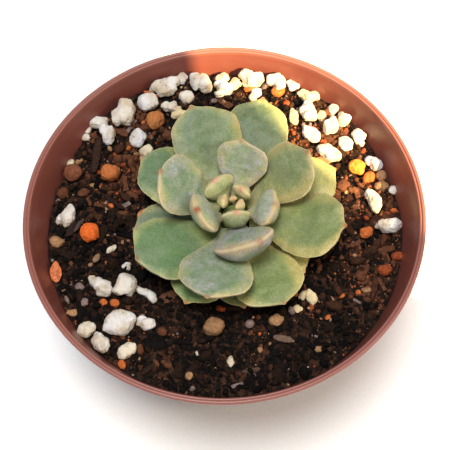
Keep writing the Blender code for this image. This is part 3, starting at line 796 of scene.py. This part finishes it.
def build_pot(material):
    """The moulded pot, with an inner bead and an outer lip to its rim."""
    collar_foot = POT_HEIGHT - COLLAR_DEPTH
    profile = [(0.0, FLOOR_TOP), (10.0, FLOOR_TOP), (20.0, FLOOR_TOP), (BASE_RADIUS - 2.0, FLOOR_TOP)]
    profile += arc(BASE_RADIUS - 2.0, FLOOR_TOP + 2.0, 2.0, -80, -20, 5)
    for z in (12.0, 22.0, 32.0, collar_foot, 43.0, 46.0, 48.4):
        profile.append((wall_inner_radius(z), z))
    profile += arc(RIM_RADIUS - 1.16, POT_HEIGHT - 0.62, BEAD_RADIUS, 190, 70, 7)
    profile += arc(RIM_RADIUS - 0.52, POT_HEIGHT - LIP_RADIUS, LIP_RADIUS, 160, -60, 12)
    profile += [
        (RIM_RADIUS - 0.75, POT_HEIGHT - 1.5),
        (RIM_RADIUS - 0.95, POT_HEIGHT - 2.2),
        (RIM_RADIUS - 1.9, POT_HEIGHT - 5.5),
        (COLLAR_FOOT_RADIUS + 0.30, collar_foot + 0.45),
        (COLLAR_FOOT_RADIUS + 0.10, collar_foot + 0.10),
        (COLLAR_FOOT_RADIUS - 0.25, collar_foot - 0.20),
    ]
    top, bottom = (COLLAR_FOOT_RADIUS - COLLAR_STEP, collar_foot - 0.90), (BASE_RADIUS + 0.5, 1.6)
    profile.append(top)
    for share in (0.25, 0.5, 0.75):
        profile.append((top[0] + share * (bottom[0] - top[0]), top[1] + share * (bottom[1] - top[1])))
    profile.append(bottom)
    profile += arc(BASE_RADIUS - 0.7, 0.9, 0.9, 0, -90, 6)
    profile += [
        (FOOT_RING_INNER + 0.5, 0.0), (FOOT_RING_INNER + 0.15, 0.12), (FOOT_RING_INNER, 0.4),
        (FOOT_RING_INNER - 0.3, FOOT_RECESS), (15.0, FOOT_RECESS), (0.0, FOOT_RECESS),
    ]
    pot = turned("moulded_pot", profile, POT_STEPS)
    for index in range(DRAIN_COUNT):
        angle = 2.0 * math.pi * (index + 0.5) / DRAIN_COUNT
        place = (DRAIN_CIRCLE * math.cos(angle) * MM, DRAIN_CIRCLE * math.sin(angle) * MM, 2.4 * MM)
        deselect()
        bpy.ops.mesh.primitive_cylinder_add(
            vertices=32, radius=DRAIN_RADIUS * MM, depth=4.0 * MM, location=place,
        )
        drill = bpy.context.object
        finish_with(pot, "BOOLEAN", operation="DIFFERENCE", solver="EXACT", object=drill)
        bpy.data.objects.remove(drill, do_unlink=True)
    smooth(pot, 32)
    return dress(pot, material, "pot_plastic", "pot")


# Soil.


def build_soil(material):
    """The soil body: a fine grid drawn to a round, raised to its relief, then
    extruded down the wall and closed underneath."""
    deselect()
    bpy.ops.mesh.primitive_grid_add(x_subdivisions=SOIL_GRID, y_subdivisions=SOIL_GRID, size=2.0)
    soil = bpy.context.object
    for vertex in soil.data.vertices:
        u, v = vertex.co.x, vertex.co.y
        round_x = u * math.sqrt(1.0 - 0.5 * v * v)
        round_y = v * math.sqrt(1.0 - 0.5 * u * u)
        edge = wall_inner_radius(soil_height(39.0 * round_y)) - 0.12
        x, y = edge * round_x, edge * round_y
        vertex.co = (x * MM, y * MM, ground(x, y) * MM)
    bpy.ops.object.mode_set(mode="EDIT")
    bpy.ops.mesh.select_all(action="SELECT")
    bpy.ops.mesh.region_to_loop()
    level = SOIL_EDGE - 1.5
    bpy.ops.mesh.extrude_region_move(TRANSFORM_OT_translate={"value": (0.0, 0.0, -1.5 * MM)})
    for z in (22.0, FLOOR_TOP + 2.0, FLOOR_TOP + 0.35):
        share = (wall_inner_radius(max(z, FLOOR_TOP + 1.0)) - 0.35) / (wall_inner_radius(level) - 0.35)
        bpy.ops.mesh.extrude_region_move(TRANSFORM_OT_translate={"value": (0.0, 0.0, (z - level) * MM)})
        bpy.ops.transform.resize(value=(share, share, 1.0), center_override=(0.0, 0.0, 0.0))
        level = z
    bpy.ops.transform.resize(value=(1.0, 1.0, 0.0), center_override=(0.0, 0.0, (FLOOR_TOP + 0.35) * MM))
    bpy.ops.mesh.edge_face_add()
    bpy.ops.mesh.select_all(action="SELECT")
    bpy.ops.mesh.normals_make_consistent(inside=False)
    settle(soil, "soil_body")
    smooth(soil, 60)
    return dress(soil, material, "potting_soil", "soil")


def crumb_pattern(seed, subdivisions, spread):
    """One crumb of unit size: an icosphere with its corners pushed about."""
    deselect()
    bpy.ops.mesh.primitive_ico_sphere_add(subdivisions=subdivisions, radius=1.0)
    crumb = bpy.context.object
    bpy.ops.object.mode_set(mode="EDIT")
    bpy.ops.mesh.select_all(action="SELECT")
    bpy.ops.transform.vertex_random(offset=spread, seed=seed)
    deselect()
    return crumb


def sliver_pattern(seed):
    """One bark sliver of unit length: a thin bar, cut across, tapered and warped."""
    deselect()
    bpy.ops.mesh.primitive_cube_add(size=1.0)
    sliver = bpy.context.object
    sliver.scale = (1.0, 0.34, 0.16)
    settle(sliver)
    bpy.ops.object.mode_set(mode="EDIT")
    bpy.ops.mesh.select_all(action="SELECT")
    bpy.ops.mesh.subdivide(number_cuts=2)
    bpy.ops.transform.vertex_random(offset=0.075, seed=seed)
    deselect()
    return sliver


def strew(name, patterns, spots):
    """Copies of patterns joined in one mesh. A spot is a place, three half-sizes,
    a turn, a pattern's number and a tint."""
    points, faces, tints = [], [], []
    shapes = []
    for pattern in patterns:
        corners = np.array([vertex.co for vertex in pattern.data.vertices])
        corners -= corners.mean(axis=0)
        pattern.data.calc_loop_triangles()
        shapes.append((corners, [tuple(t.vertices) for t in pattern.data.loop_triangles]))
    total = 0
    for place, sizes, turn, number, tint in spots:
        corners, triangles = shapes[number % len(shapes)]
        turned_corners = (corners * sizes) @ np.array(turn.to_matrix()).T + place
        points.append(turned_corners * MM)
        faces.extend((a + total, b + total, c + total) for a, b, c in triangles)
        tints.append(np.tile(linear(tint), (len(corners), 1)))
        total += len(corners)
    mesh = bpy.data.meshes.new(name)
    mesh.from_pydata(np.concatenate(points).tolist(), [], faces)
    mesh.update()
    tag(mesh, "tint", np.concatenate(tints), "FLOAT_COLOR")
    obj = bpy.data.objects.new(name, mesh)
    bpy.context.scene.collection.objects.link(obj)
    return obj


def random_spot(chance, reach):
    """A place on the soil, spread evenly over the round."""
    radius = reach * math.sqrt(chance.random())
    angle = chance.uniform(0.0, 2.0 * math.pi)
    return radius * math.cos(angle), radius * math.sin(angle)


def taken(x, y, grains):
    """True where a large grain lies."""
    return any((x - gx) ** 2 + (y - gy) ** 2 < (0.40 * size) ** 2 for gx, gy, size in grains)


def under_leaves(x, y):
    """True in the shade of the lowest leaves, where there is little headroom."""
    return math.hypot(x - PLANT_X, y - PLANT_Y) < LEAF_SHADE


def rust_and_painted_light(x, y):
    """How rusty the soil is at a place, and below 0 where it is blacker: patches of
    9 mm and 3.5 mm, and then broad patches by side of the pot that are partly painted light: rustier at the
    back and right, where the warm sun falls, and blacker at the front, where shade falls."""
    broad = noise.noise(Vector((x / 9.0, y / 9.0, 12.3)))
    small = noise.noise(Vector((x / 3.5, y / 3.5, 4.4)))
    rust = broad + 0.5 * small
    # Painted light and shade: rustier in the warm sun at the back and right, blacker in the shade at the
    # front left and front right.
    right, back = smoothstep((x - 12.0) / 16.0), smoothstep((y - 12.0) / 12.0)
    rust += 0.55 * right + 0.40 * back
    front_left = smoothstep((-x - y - 14.0) / 16.0)
    rust -= 0.25 * front_left
    right, front = smoothstep((x - 4.0) / 10.0), smoothstep((-y - 8.0) / 12.0)
    rust -= 0.55 * right * front
    far_right, not_front = smoothstep((x - 26.0) / 8.0), smoothstep((y + 14.0) / 8.0)
    rust += 0.42 * far_right * not_front
    left, back = smoothstep((-x - 12.0) / 10.0), smoothstep((y - 6.0) / 8.0)
    rust += 0.40 * left * back
    far_left, midway = smoothstep((-x - 16.0) / 10.0), smoothstep((8.0 - abs(y)) / 6.0)
    rust -= 0.22 * far_left * midway
    return rust


def pick(chance, mix, x, y):
    """A hue for a crumb at a place, out of a mix."""
    rust = rust_and_painted_light(x, y)
    weights = []
    for hue, weight in mix:
        if hue in (PEAT_BLACK, PEAT_BROWN):
            weight *= math.exp(-2.2 * rust)
        elif hue in (CLAY_RUST, CLAY_ORANGE, BARK_BROWN):
            weight *= math.exp(2.2 * rust)
        weights.append(weight)
    return chance.choices([hue for hue, weight in mix], weights)[0]


def build_crumbs(material, grains):
    """Peat crumbs in three sizes, lying as they fell."""
    fine = [crumb_pattern(seed, 1, 0.30) for seed in range(6)]
    lumps = [crumb_pattern(seed + 10, 2, 0.22) for seed in range(8)]
    clods = [crumb_pattern(seed + 30, 3, 0.10) for seed in range(6)]
    for patterns, (name, count, small, large, flat, seed, mix) in zip((fine, lumps, clods), CRUMBS):
        chance = random.Random(seed)
        spots = []
        while len(spots) < count:
            size = small + (large - small) * chance.random() ** 2
            x, y = random_spot(chance, CRUMB_REACH)
            edge = wall_inner_radius(soil_height(y)) - 0.25 - 0.9 * size
            turn = Euler([chance.uniform(0.0, 6.28) for axis in range(3)])
            sizes = [size * chance.uniform(0.7, 1.5), size * chance.uniform(0.7, 1.2), size * flat]
            tint = pick(chance, mix, x, y)
            if math.hypot(x, y) > edge or taken(x, y, grains):
                continue
            lift = chance.uniform(-0.2, 0.5) * size
            if under_leaves(x, y):
                lift = -0.4 * size
            place = (x, y, ground(x, y) + lift)
            spots.append((place, sizes, turn, len(spots), tint))
        crumbs = smooth(strew(name, patterns, spots), 75)
        dress(crumbs, material, "potting_soil")
    for pattern in fine + lumps + clods:
        bpy.data.objects.remove(pattern, do_unlink=True)


def build_slivers(material, grains):
    """Slivers of composted bark lying every way among the crumbs."""
    patterns = [sliver_pattern(seed) for seed in range(6)]
    chance = random.Random(21)
    spots = []
    while len(spots) < SLIVER_COUNT:
        length = chance.uniform(1.4, 5.2) * chance.uniform(0.5, 1.0)
        x, y = random_spot(chance, SLIVER_REACH)
        tilt = chance.gauss(0.0, 0.25)
        turn = Euler((chance.uniform(-0.6, 0.6), tilt, chance.uniform(0.0, 6.28)))
        sizes = [length, length * chance.uniform(0.5, 1.2), length * chance.uniform(0.5, 1.1)]
        tint = pick(chance, SLIVER_MIX, x, y)
        if taken(x, y, grains) or under_leaves(x, y):
            continue
        place = (x, y, ground(x, y) + 0.25 + 0.06 * length)
        spots.append((place, sizes, turn, len(spots), tint))
    slivers = smooth(strew("bark_slivers", patterns, spots), 40)
    dress(slivers, material, "potting_soil")
    for pattern in patterns:
        bpy.data.objects.remove(pattern, do_unlink=True)


def build_large_bark(material, texture):
    """Large pieces of bark, wood and clay shard, each with its own split shape."""
    pieces = []
    for number, (x, y, lift, length, width, thickness, turn, tilt, hue) in enumerate(LARGE_BARK):
        chance = random.Random(500 + number)
        piece = block(chance, 0.15)
        seat(piece, (0.0, 0.0, 0.0), (length, width, thickness), 0.0)
        piece.rotation_euler = (0.15, -math.radians(tilt), math.radians(turn))
        piece.location = (x * MM, y * MM, (ground(x, y) + lift) * MM)
        roughen(settle(piece), [(texture, 0.5)])
        tag(piece.data, "tint", [linear(hue)] * len(piece.data.vertices), "FLOAT_COLOR")
        pieces.append(piece)
    dress(join(pieces, "bark_pieces"), material, "potting_soil")


# Grains.


def block(chance, crease):
    """A unit cube with its corners pushed about and its edges part creased,
    subdivided to a blunt lump and turned any way."""
    deselect()
    bpy.ops.mesh.primitive_cube_add(size=1.0)
    lump = bpy.context.object
    bpy.ops.object.mode_set(mode="EDIT")
    bpy.ops.mesh.select_all(action="SELECT")
    bpy.ops.transform.vertex_random(offset=0.20, seed=chance.randrange(10000))
    bpy.ops.transform.edge_crease(value=crease)
    deselect()
    finish_with(lump, "SUBSURF", levels=4)
    lump.rotation_euler = [chance.uniform(-0.5, 0.5), chance.uniform(-0.5, 0.5), chance.uniform(0.0, 6.28)]
    return settle(lump)


def seat(grain, place, sizes, turn):
    """Fit a lump to its size, turn it about Z in degrees and set it in its place."""
    corners = np.array([vertex.co for vertex in grain.data.vertices])
    low, high = corners.min(axis=0), corners.max(axis=0)
    shares = [size * MM / span for size, span in zip(sizes, high - low)]
    activate(grain)
    bpy.ops.object.mode_set(mode="EDIT")
    bpy.ops.mesh.select_all(action="SELECT")
    bpy.ops.transform.translate(value=[-0.5 * (a + b) for a, b in zip(low, high)])
    bpy.ops.transform.resize(value=shares, center_override=(0.0, 0.0, 0.0))
    deselect()
    grain.rotation_euler = (0.0, 0.0, math.radians(turn))
    grain.location = [value * MM for value in place]
    return settle(grain)


def lobed_grain(chance, place, sizes, turn, lobes, voxel):
    """A popped grain: blunt lumps run together, skinned over and smoothed."""
    parts = []
    for number in range(lobes):
        lump = block(chance, 0.25)
        angle = 2.0 * math.pi * (number + chance.uniform(-0.3, 0.3)) / lobes
        reach = 0.0 if number == 0 else chance.uniform(0.34, 0.58)
        size = chance.uniform(0.55, 0.85) if number else 1.0
        lump.scale = (size, size * chance.uniform(0.75, 1.1), size)
        lump.location = (reach * math.cos(angle), reach * math.sin(angle), chance.uniform(-0.08, 0.12))
        parts.append(settle(lump))
    grain = seat(join(parts, "grain"), place, sizes, turn)
    finish_with(grain, "REMESH", mode="VOXEL", voxel_size=voxel * MM, use_smooth_shade=True)
    finish_with(grain, "SMOOTH", factor=0.5, iterations=3)
    return grain


def roughen(grain, lumps):
    """Push a grain's skin in and out with soft noise, by (texture, depth) rows."""
    for texture, depth in lumps:
        finish_with(
            grain, "DISPLACE", texture=texture, texture_coords="GLOBAL", strength=depth * MM, mid_level=0.5,
        )
    return smooth(grain)


def node_grains(prefix):
    """The CAD nodes of one kind, with each one's centre and size."""
    found = []
    for name in sorted(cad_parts):
        if name.startswith(prefix):
            low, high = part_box(name)
            found.append((name, (low + high) / (2.0 * MM), (high - low) / MM))
    return found


def build_perlite(material, textures):
    """The large white grains, one for each CAD grain."""
    for number, (name, centre, size) in enumerate(node_grains("perlite_")):
        chance = random.Random(100 + number)
        place = (centre.x, centre.y, centre.z - 0.25)
        length, width, turn = TURNED_GRAINS.get(name, (size.x, size.y, 0))
        sizes = (1.12 * length, 1.12 * width, 1.05 * size.z + 0.5)
        grain = lobed_grain(chance, place, sizes, turn, chance.choice((1, 2, 2, 3)), 0.16)
        roughen(grain, textures)
        grain.name = grain.data.name = name.replace("perlite_", "perlite_grain_")
        warmth = chance.uniform(0.0, 0.30)
        tag(grain.data, "warmth", [warmth] * len(grain.data.vertices))
        dress(grain, material, "perlite", name)


def build_small_perlite(material, textures):
    """The white grains that lie between the large ones."""
    grains = []
    for number, (x, y, length, width, turn, warmth) in enumerate(SMALL_WHITE):
        chance = random.Random(200 + number)
        tall = 0.8 * min(length, width)
        place = (x, y, ground(x, y) + 0.38 * tall)
        sizes = (1.1 * length, 1.1 * width, tall)
        lobes = chance.choice((1, 2, 3)) if tall > 2.0 else 1
        grain = lobed_grain(chance, place, sizes, turn, lobes, 0.15)
        roughen(grain, textures)
        tag(grain.data, "warmth", [warmth * 0.9] * len(grain.data.vertices))
        grains.append(grain)
    dress(join(grains, "small_perlite"), material, "perlite")


def pebble(chance, place, sizes, turn, textures):
    """A baked or worn grain: one lump with blunt flats."""
    return roughen(seat(block(chance, 0.16), place, sizes, turn), textures)


def build_clay(material, textures):
    """The large baked-clay grains, one for each CAD grain, and the tan stone."""
    for number, (name, centre, size) in enumerate(node_grains("clay_") + node_grains("stone_")):
        chance = random.Random(300 + number)
        place = (centre.x, centre.y, centre.z - 0.25)
        grain = pebble(chance, place, (size.x, size.y, size.z + 0.5), 0.0, textures)
        grain.name = grain.data.name = name.replace("_", "_grain_")
        tint = linear(CLAY_HUES.get(name, STONE_HUE))
        tag(grain.data, "tint", [tint] * len(grain.data.vertices), "FLOAT_COLOR")
        dress(grain, material, "baked_clay" if name in CLAY_HUES else "stone", name)


def build_small_stones(material, textures):
    """Small clay balls, grit and stones between the large grains."""
    grains = []
    for number, (x, y, length, width, turn, hue) in enumerate(SMALL_STONE):
        chance = random.Random(400 + number)
        tall = 0.8 * min(length, width)
        place = (x, y, ground(x, y) + 0.35 * tall)
        grain = pebble(chance, place, (length, width, tall), turn, textures)
        tag(grain.data, "tint", [linear(hue)] * len(grain.data.vertices), "FLOAT_COLOR")
        grains.append(grain)
    dress(join(grains, "small_stones"), material, "stone")


# Plant.


def leaf_base(index):
    """Radius and height of a leaf's base on the stem, from the youngest down."""
    radius = (STEM_RADIUS + 0.7) * (1.0 - math.exp(-(index + 0.6) / 4.0))
    height = POT_HEIGHT + YOUNGEST_LEAF_HEIGHT - LEAF_PITCH * index
    height -= BUD_PITCH * min(index, BUD_LEAVES)
    return radius, height


def outline_at(share):
    """Half-width of a leaf as a share of its greatest, by a smooth curve."""
    last = len(LEAF_OUTLINE) - 1
    step = 0
    while step < last - 1 and share > LEAF_OUTLINE[step + 1][0]:
        step += 1

    def slope(point):
        before = LEAF_OUTLINE[max(point - 1, 0)]
        after = LEAF_OUTLINE[min(point + 1, last)]
        return (after[1] - before[1]) / (after[0] - before[0])

    start, end = LEAF_OUTLINE[step], LEAF_OUTLINE[step + 1]
    span = end[0] - start[0]
    f = (share - start[0]) / span
    rise = (f ** 3 - 2 * f * f + f) * slope(step) * span + (f ** 3 - f * f) * slope(step + 1) * span
    return (2 * f ** 3 - 3 * f * f + 1) * start[1] + (3 * f * f - 2 * f ** 3) * end[1] + rise


def leaf_point(index, leaf, along, across, over):
    """A point of a leaf: along it from 0 to 1, across and over it from -1 to 1."""
    nudge, length, width, thickness, rise, rise_tip, roll, hook = leaf
    edge_share = YOUNG_EDGE if index < YOUNG_LEAVES else GROWN_EDGE
    lens = (1.0 - edge_share) * abs(over) + edge_share * (1.0 - abs(across) ** LENS_POWER)
    over = math.copysign(lens, over)
    radius, height = leaf_base(index)
    base_share = LEAF_BASE_THICKNESS / max(thickness, LEAF_BASE_THICKNESS)
    swell = base_share + (1.0 - base_share) * min(1.0, along / 0.55) ** 1.2
    taper = 1.0 - max(0.0, (along - 0.62) / 0.40) ** 2.2
    body = thickness * max(swell * taper, 0.06)
    half = 0.5 * width * outline_at(along)
    normal = body * (0.40 if over >= 0.0 else 0.60) * over
    normal += LEAF_CUP * half * (across * across - 0.5)
    side = half * across
    turn = math.radians(roll) * along
    side, normal = (
        side * math.cos(turn) - normal * math.sin(turn),
        side * math.sin(turn) + normal * math.cos(turn),
    )
    side += hook * max(0.0, (along - 0.72) / 0.28) ** 2
    start = math.radians(rise)
    bend = (math.radians(rise_tip) - start) / length
    slant = start + bend * length * along
    out = (math.sin(slant) - math.sin(start)) / bend + radius - normal * math.sin(slant)
    up = (math.cos(start) - math.cos(slant)) / bend + height + normal * math.cos(slant)
    azimuth = math.radians(FIRST_LEAF_ANGLE - GOLDEN_ANGLE * index + nudge)
    return Vector((
        (PLANT_X + out * math.cos(azimuth) - side * math.sin(azimuth)) * MM,
        (PLANT_Y + out * math.sin(azimuth) + side * math.cos(azimuth)) * MM,
        up * MM,
    ))


def leaf_blade(index, leaf):
    """A leaf's skin: a sphere drawn out along its bent midline. Returned with how far
    along each vertex is, and how far in from the margin."""
    deselect()
    bpy.ops.mesh.primitive_uv_sphere_add(segments=LEAF_AROUND, ring_count=LEAF_ALONG, radius=1.0)
    blade = bpy.context.object
    width = leaf[2]
    alongs, edges = [], []
    for vertex in blade.data.vertices:
        polar = math.acos(min(max(-vertex.co.z, -1.0), 1.0)) / math.pi
        along = 1.0 - (1.0 - polar) ** 1.5
        ring = math.hypot(vertex.co.x, vertex.co.y)
        across = vertex.co.x / ring if ring > 1e-6 else 0.0
        over = vertex.co.y / ring if ring > 1e-6 else 0.0
        vertex.co = leaf_point(index, leaf, along, across, over)
        alongs.append(along)
        edges.append(0.5 * width * outline_at(along) * (1.0 - abs(across)))
    return blade, alongs, edges


def leaf_marks(index, leaf, blade):
    """How dark the olive marks are at each vertex of a blade; the broad one on leaf 11 is painted shade."""
    marks = [0.0] * len(blade.data.vertices)
    for number, along, across, radius, amount in LEAF_MARKS:
        if number == index + 1:
            centre = leaf_point(index, leaf, along, across, 1.0)
            for place, vertex in enumerate(blade.data.vertices):
                near = (vertex.co - centre).length / (radius * MM)
                marks[place] = max(marks[place], amount * (1.0 - smoothstep(near)))
    return marks


def tag_finish(blade, index):
    """Store a leaf's finish. Warm light from the right is painted in: towards the right
    side of the rosette the bloom is thinner and the flesh more golden, and towards the left the bloom is
    thicker and cooler."""
    bloom, gold, blush, ridge, tone = LEAF_FINISH[index]
    # Painted light: how far a vertex lies to the right of the plant, where warm light falls, in shares of
    # 25 mm.
    warm_light_sides = [(vertex.co.x / MM - PLANT_X) / 25.0 for vertex in blade.data.vertices]
    tag(blade.data, "leaf_bloom", [bloom * (1.0 - 0.45 * side) for side in warm_light_sides])
    tag(blade.data, "leaf_gold", [gold + 0.40 * side for side in warm_light_sides])
    for name, value in (("leaf_blush", blush), ("leaf_ridge", ridge), ("leaf_tone", tone)):
        tag(blade.data, name, [value] * len(warm_light_sides))


def build_leaf(index, leaf, material, slot, texture):
    """One fleshy leaf, with all that its material reads."""
    blade, alongs, edges = leaf_blade(index, leaf)
    tip = leaf_point(index, leaf, 1.0, 0.0, 0.0)
    tips = [(vertex.co - tip).length / MM for vertex in blade.data.vertices]
    marks = leaf_marks(index, leaf, blade)
    settle(blade, f"leaf_blade_{index + 1:02d}")
    bpy.ops.object.mode_set(mode="EDIT")
    bpy.ops.mesh.select_all(action="SELECT")
    bpy.ops.mesh.normals_make_consistent(inside=False)
    deselect()
    depth = 0.085 * min(leaf[2], 12.0)
    finish_with(
        blade, "DISPLACE", texture=texture, texture_coords="GLOBAL", strength=depth * MM, mid_level=0.5,
    )
    smooth(blade)
    for name, values in (
        ("leaf_along", alongs), ("leaf_edge", edges), ("leaf_tip", tips), ("leaf_mark", marks),
    ):
        tag(blade.data, name, values)
    tag_finish(blade, index)
    return dress(blade, material, slot, f"leaf_{index + 1:02d}")


def build_stem(material):
    """The short stem, with the scars of fallen leaves, domed under the bud."""
    low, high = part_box("stem")
    top, foot = high.z / MM, low.z / MM
    profile = [(0.0, top)]
    for share in (0.2, 0.35, 0.5, 0.65, 0.78, 0.88, 0.95, 1.0):
        drop = 1.0 - math.sqrt(1.0 - share * share)
        profile.append((STEM_RADIUS * share, top - 2.4 * drop))
    for step in range(12):
        ridge = -0.12 if step % 2 else 0.0
        profile.append((STEM_RADIUS + ridge, top - 2.8 - 0.55 * step))
    profile += [(STEM_RADIUS, foot + 1.0), (STEM_RADIUS - 0.8, foot), (0.0, foot)]
    stem = turned("stem_stub", profile, 40)
    stem.location = (PLANT_X * MM, PLANT_Y * MM, 0.0)
    settle(stem)
    smooth(stem, 40)
    return dress(stem, material, "stem", "stem")


def build_withered_leaf(material, texture):
    """The dead leaf under the rosette: a thin curled sheet that bellies down."""
    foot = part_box("withered_leaf")[0].z / MM
    deselect()
    bpy.ops.mesh.primitive_grid_add(x_subdivisions=40, y_subdivisions=20, size=2.0)
    leaf = bpy.context.object
    azimuth = math.radians(WITHERED_AZIMUTH)
    for vertex in leaf.data.vertices:
        along = 0.5 * (vertex.co.x + 1.0)
        round_half = WITHERED_HALF * math.sqrt(max(1.0 - (2.0 * along - 1.0) ** 2, 0.0))
        half = round_half * (0.65 + 0.35 * along)
        side = half * vertex.co.y
        out = WITHERED_START + WITHERED_REACH * along
        crumple = 0.18 * math.sin(9.0 * along + 2.0 * side)
        up = foot + 0.25 + 0.10 * side * side + 1.3 * along * along + crumple * 0.6
        vertex.co = (
            (PLANT_X + out * math.cos(azimuth) - side * math.sin(azimuth)) * MM,
            (PLANT_Y + out * math.sin(azimuth) + side * math.cos(azimuth)) * MM,
            up * MM,
        )
    finish_with(leaf, "WELD", merge_threshold=0.00003)
    finish_with(leaf, "SOLIDIFY", thickness=0.16 * MM, offset=0.0)
    finish_with(
        leaf, "DISPLACE", texture=texture, texture_coords="GLOBAL", strength=0.35 * MM, mid_level=0.5,
    )
    settle(leaf, "withered_leaf_paper")
    smooth(leaf, 60)
    return dress(leaf, material, "withered_leaf", "withered_leaf")


# Studio.


def build_floor(material):
    """A wide sheet of paper under the pot."""
    deselect()
    bpy.ops.mesh.primitive_plane_add(size=6.0)
    floor = bpy.context.object
    floor.name = "studio_floor"
    floor.data.materials.append(material)


def build_room():
    """A dim, faintly blue room that lights softly from all round, with a near-white
    backdrop where the camera looks past the floor."""
    world = bpy.data.worlds.new("studio")
    bpy.context.scene.world = world
    world.use_nodes = True
    tree = world.node_tree
    room = tree.nodes["Background"]
    room.inputs["Color"].default_value = linear("E6EEFA")
    room.inputs["Strength"].default_value = 0.36
    backdrop = add(tree, "Background", {"Color": linear("FBFBFB"), "Strength": 1.0})
    seen = add(tree, "LightPath").outputs["Is Camera Ray"]
    shown = add(tree, "MixShader", {0: seen, 1: room.outputs[0], 2: backdrop.outputs[0]})
    tree.links.new(shown.outputs[0], tree.nodes["World Output"].inputs["Surface"])


def lamp(name, kind, place, target, **settings):
    """A lamp that stands at a place and points at a target."""
    data = bpy.data.lights.new(name, kind)
    for key, value in settings.items():
        setattr(data, key, value)
    obj = bpy.data.objects.new(name, data)
    bpy.context.scene.collection.objects.link(obj)
    obj.location = place
    obj.rotation_euler = (Vector(target) - Vector(place)).to_track_quat("-Z", "Y").to_euler()


def build_lights():
    """A soft key from nearly overhead, a warm sun low from the right in front, and a
    faint warm fill beside it. The sun is a far spot whose hard edge crosses the back
    wall and runs past the rosette, so that only the back and the right are warm."""
    lamp(
        "soft_key", "SUN", (-0.06, -0.08, 0.92), (0.0, 0.0, 0.04),
        angle=math.radians(22.0), energy=2.9, color=(1.0, 0.99, 0.97),
    )
    sun = math.radians(SUN_AZIMUTH)
    height = math.radians(SUN_HEIGHT)
    reach = Vector((math.cos(sun) * math.cos(height), math.sin(sun) * math.cos(height), math.sin(height)))
    target = Vector(SUN_TARGET)
    lamp(
        "warm_window", "SPOT", target + SUN_REACH * reach, target,
        energy=1950.0, color=(1.0, 0.72, 0.33), spot_size=2.0 * math.atan(SUN_SPOT_RADIUS / SUN_REACH),
        spot_blend=0.01, shadow_soft_size=0.0018,
    )
    lamp(
        "warm_fill", "AREA", (0.42, -0.20, 0.34), (0.0, 0.0, 0.05),
        shape="DISK", size=0.25, energy=1.2, color=(1.0, 0.82, 0.55),
    )


def build_camera():
    """A long lens that looks steeply down on the pot, a little rolled."""
    data = bpy.data.cameras.new("camera")
    data.lens = CAMERA_LENS
    data.sensor_width = 36.0
    camera = bpy.data.objects.new("camera", data)
    bpy.context.scene.collection.objects.link(camera)
    elevation = math.radians(CAMERA_ELEVATION)
    target = Vector((0.00012, -0.00352, POT_HIGH.z))
    offset = Vector((0.0, -math.cos(elevation), math.sin(elevation))) * CAMERA_DISTANCE
    tilt = Matrix.Rotation(math.radians(90.0) - elevation, 4, "X")
    roll = Matrix.Rotation(math.radians(CAMERA_ROLL), 4, "Z")
    camera.matrix_world = Matrix.Translation(target + offset) @ tilt @ roll
    bpy.context.scene.camera = camera


def build_studio():
    """The camera, the light and the floor."""
    build_camera()
    build_room()
    build_lights()
    build_floor(studio_floor())
    bpy.context.scene.view_settings.view_transform = "Standard"


def build_potting_mix():
    """The soil, the large grains in it, and all that is strewn over it."""
    build_soil(moist_peat())
    crumb = tinted_crumb("loose_peat_and_bark", 0.85, 0.35)
    ceramic = tinted_crumb("baked_clay_and_grit", 0.80, 0.25)
    popped = expanded_perlite()
    skin = [(clouds("popped_lumps", 1.6), 0.80), (clouds("popped_cells", 0.6), 0.14)]
    worn = [(clouds("worn_lumps", 1.6), 0.7), (clouds("worn_pits", 0.45), 0.18)]
    build_perlite(popped, skin)
    build_small_perlite(popped, skin)
    build_clay(ceramic, worn)
    build_small_stones(ceramic, worn)
    grains = []
    for prefix in ("perlite_", "clay_", "stone_"):
        grains += [(centre.x, centre.y, max(size.x, size.y)) for name, centre, size in node_grains(prefix)]
    grains += [(row[0], row[1], max(row[2], row[3])) for row in SMALL_WHITE + SMALL_STONE]
    build_crumbs(crumb, grains)
    build_slivers(crumb, grains)
    build_large_bark(crumb, clouds("split_grain", 1.2))


def build_plant():
    """The stem, the rosette and the dead leaf under it."""
    build_stem(corky_stem())
    young = leaf_flesh("young_leaf_flesh", "80945C", "A9AF70", "D6CA8C", "C98770")
    grown = leaf_flesh("leaf_flesh", "5F8049", "9AA65F", "D6C674", "9C5630")
    swell = clouds("leaf_swell", 4.0)
    for index, leaf in enumerate(LEAVES):
        if index < YOUNG_LEAVES:
            build_leaf(index, leaf, young, "leaf_young", swell)
        else:
            build_leaf(index, leaf, grown, "leaf", swell)
    build_withered_leaf(papery_leaf(), clouds("paper_crumple", 1.5))


build_studio()
build_pot(moulded_polypropylene())
build_potting_mix()
build_plant()
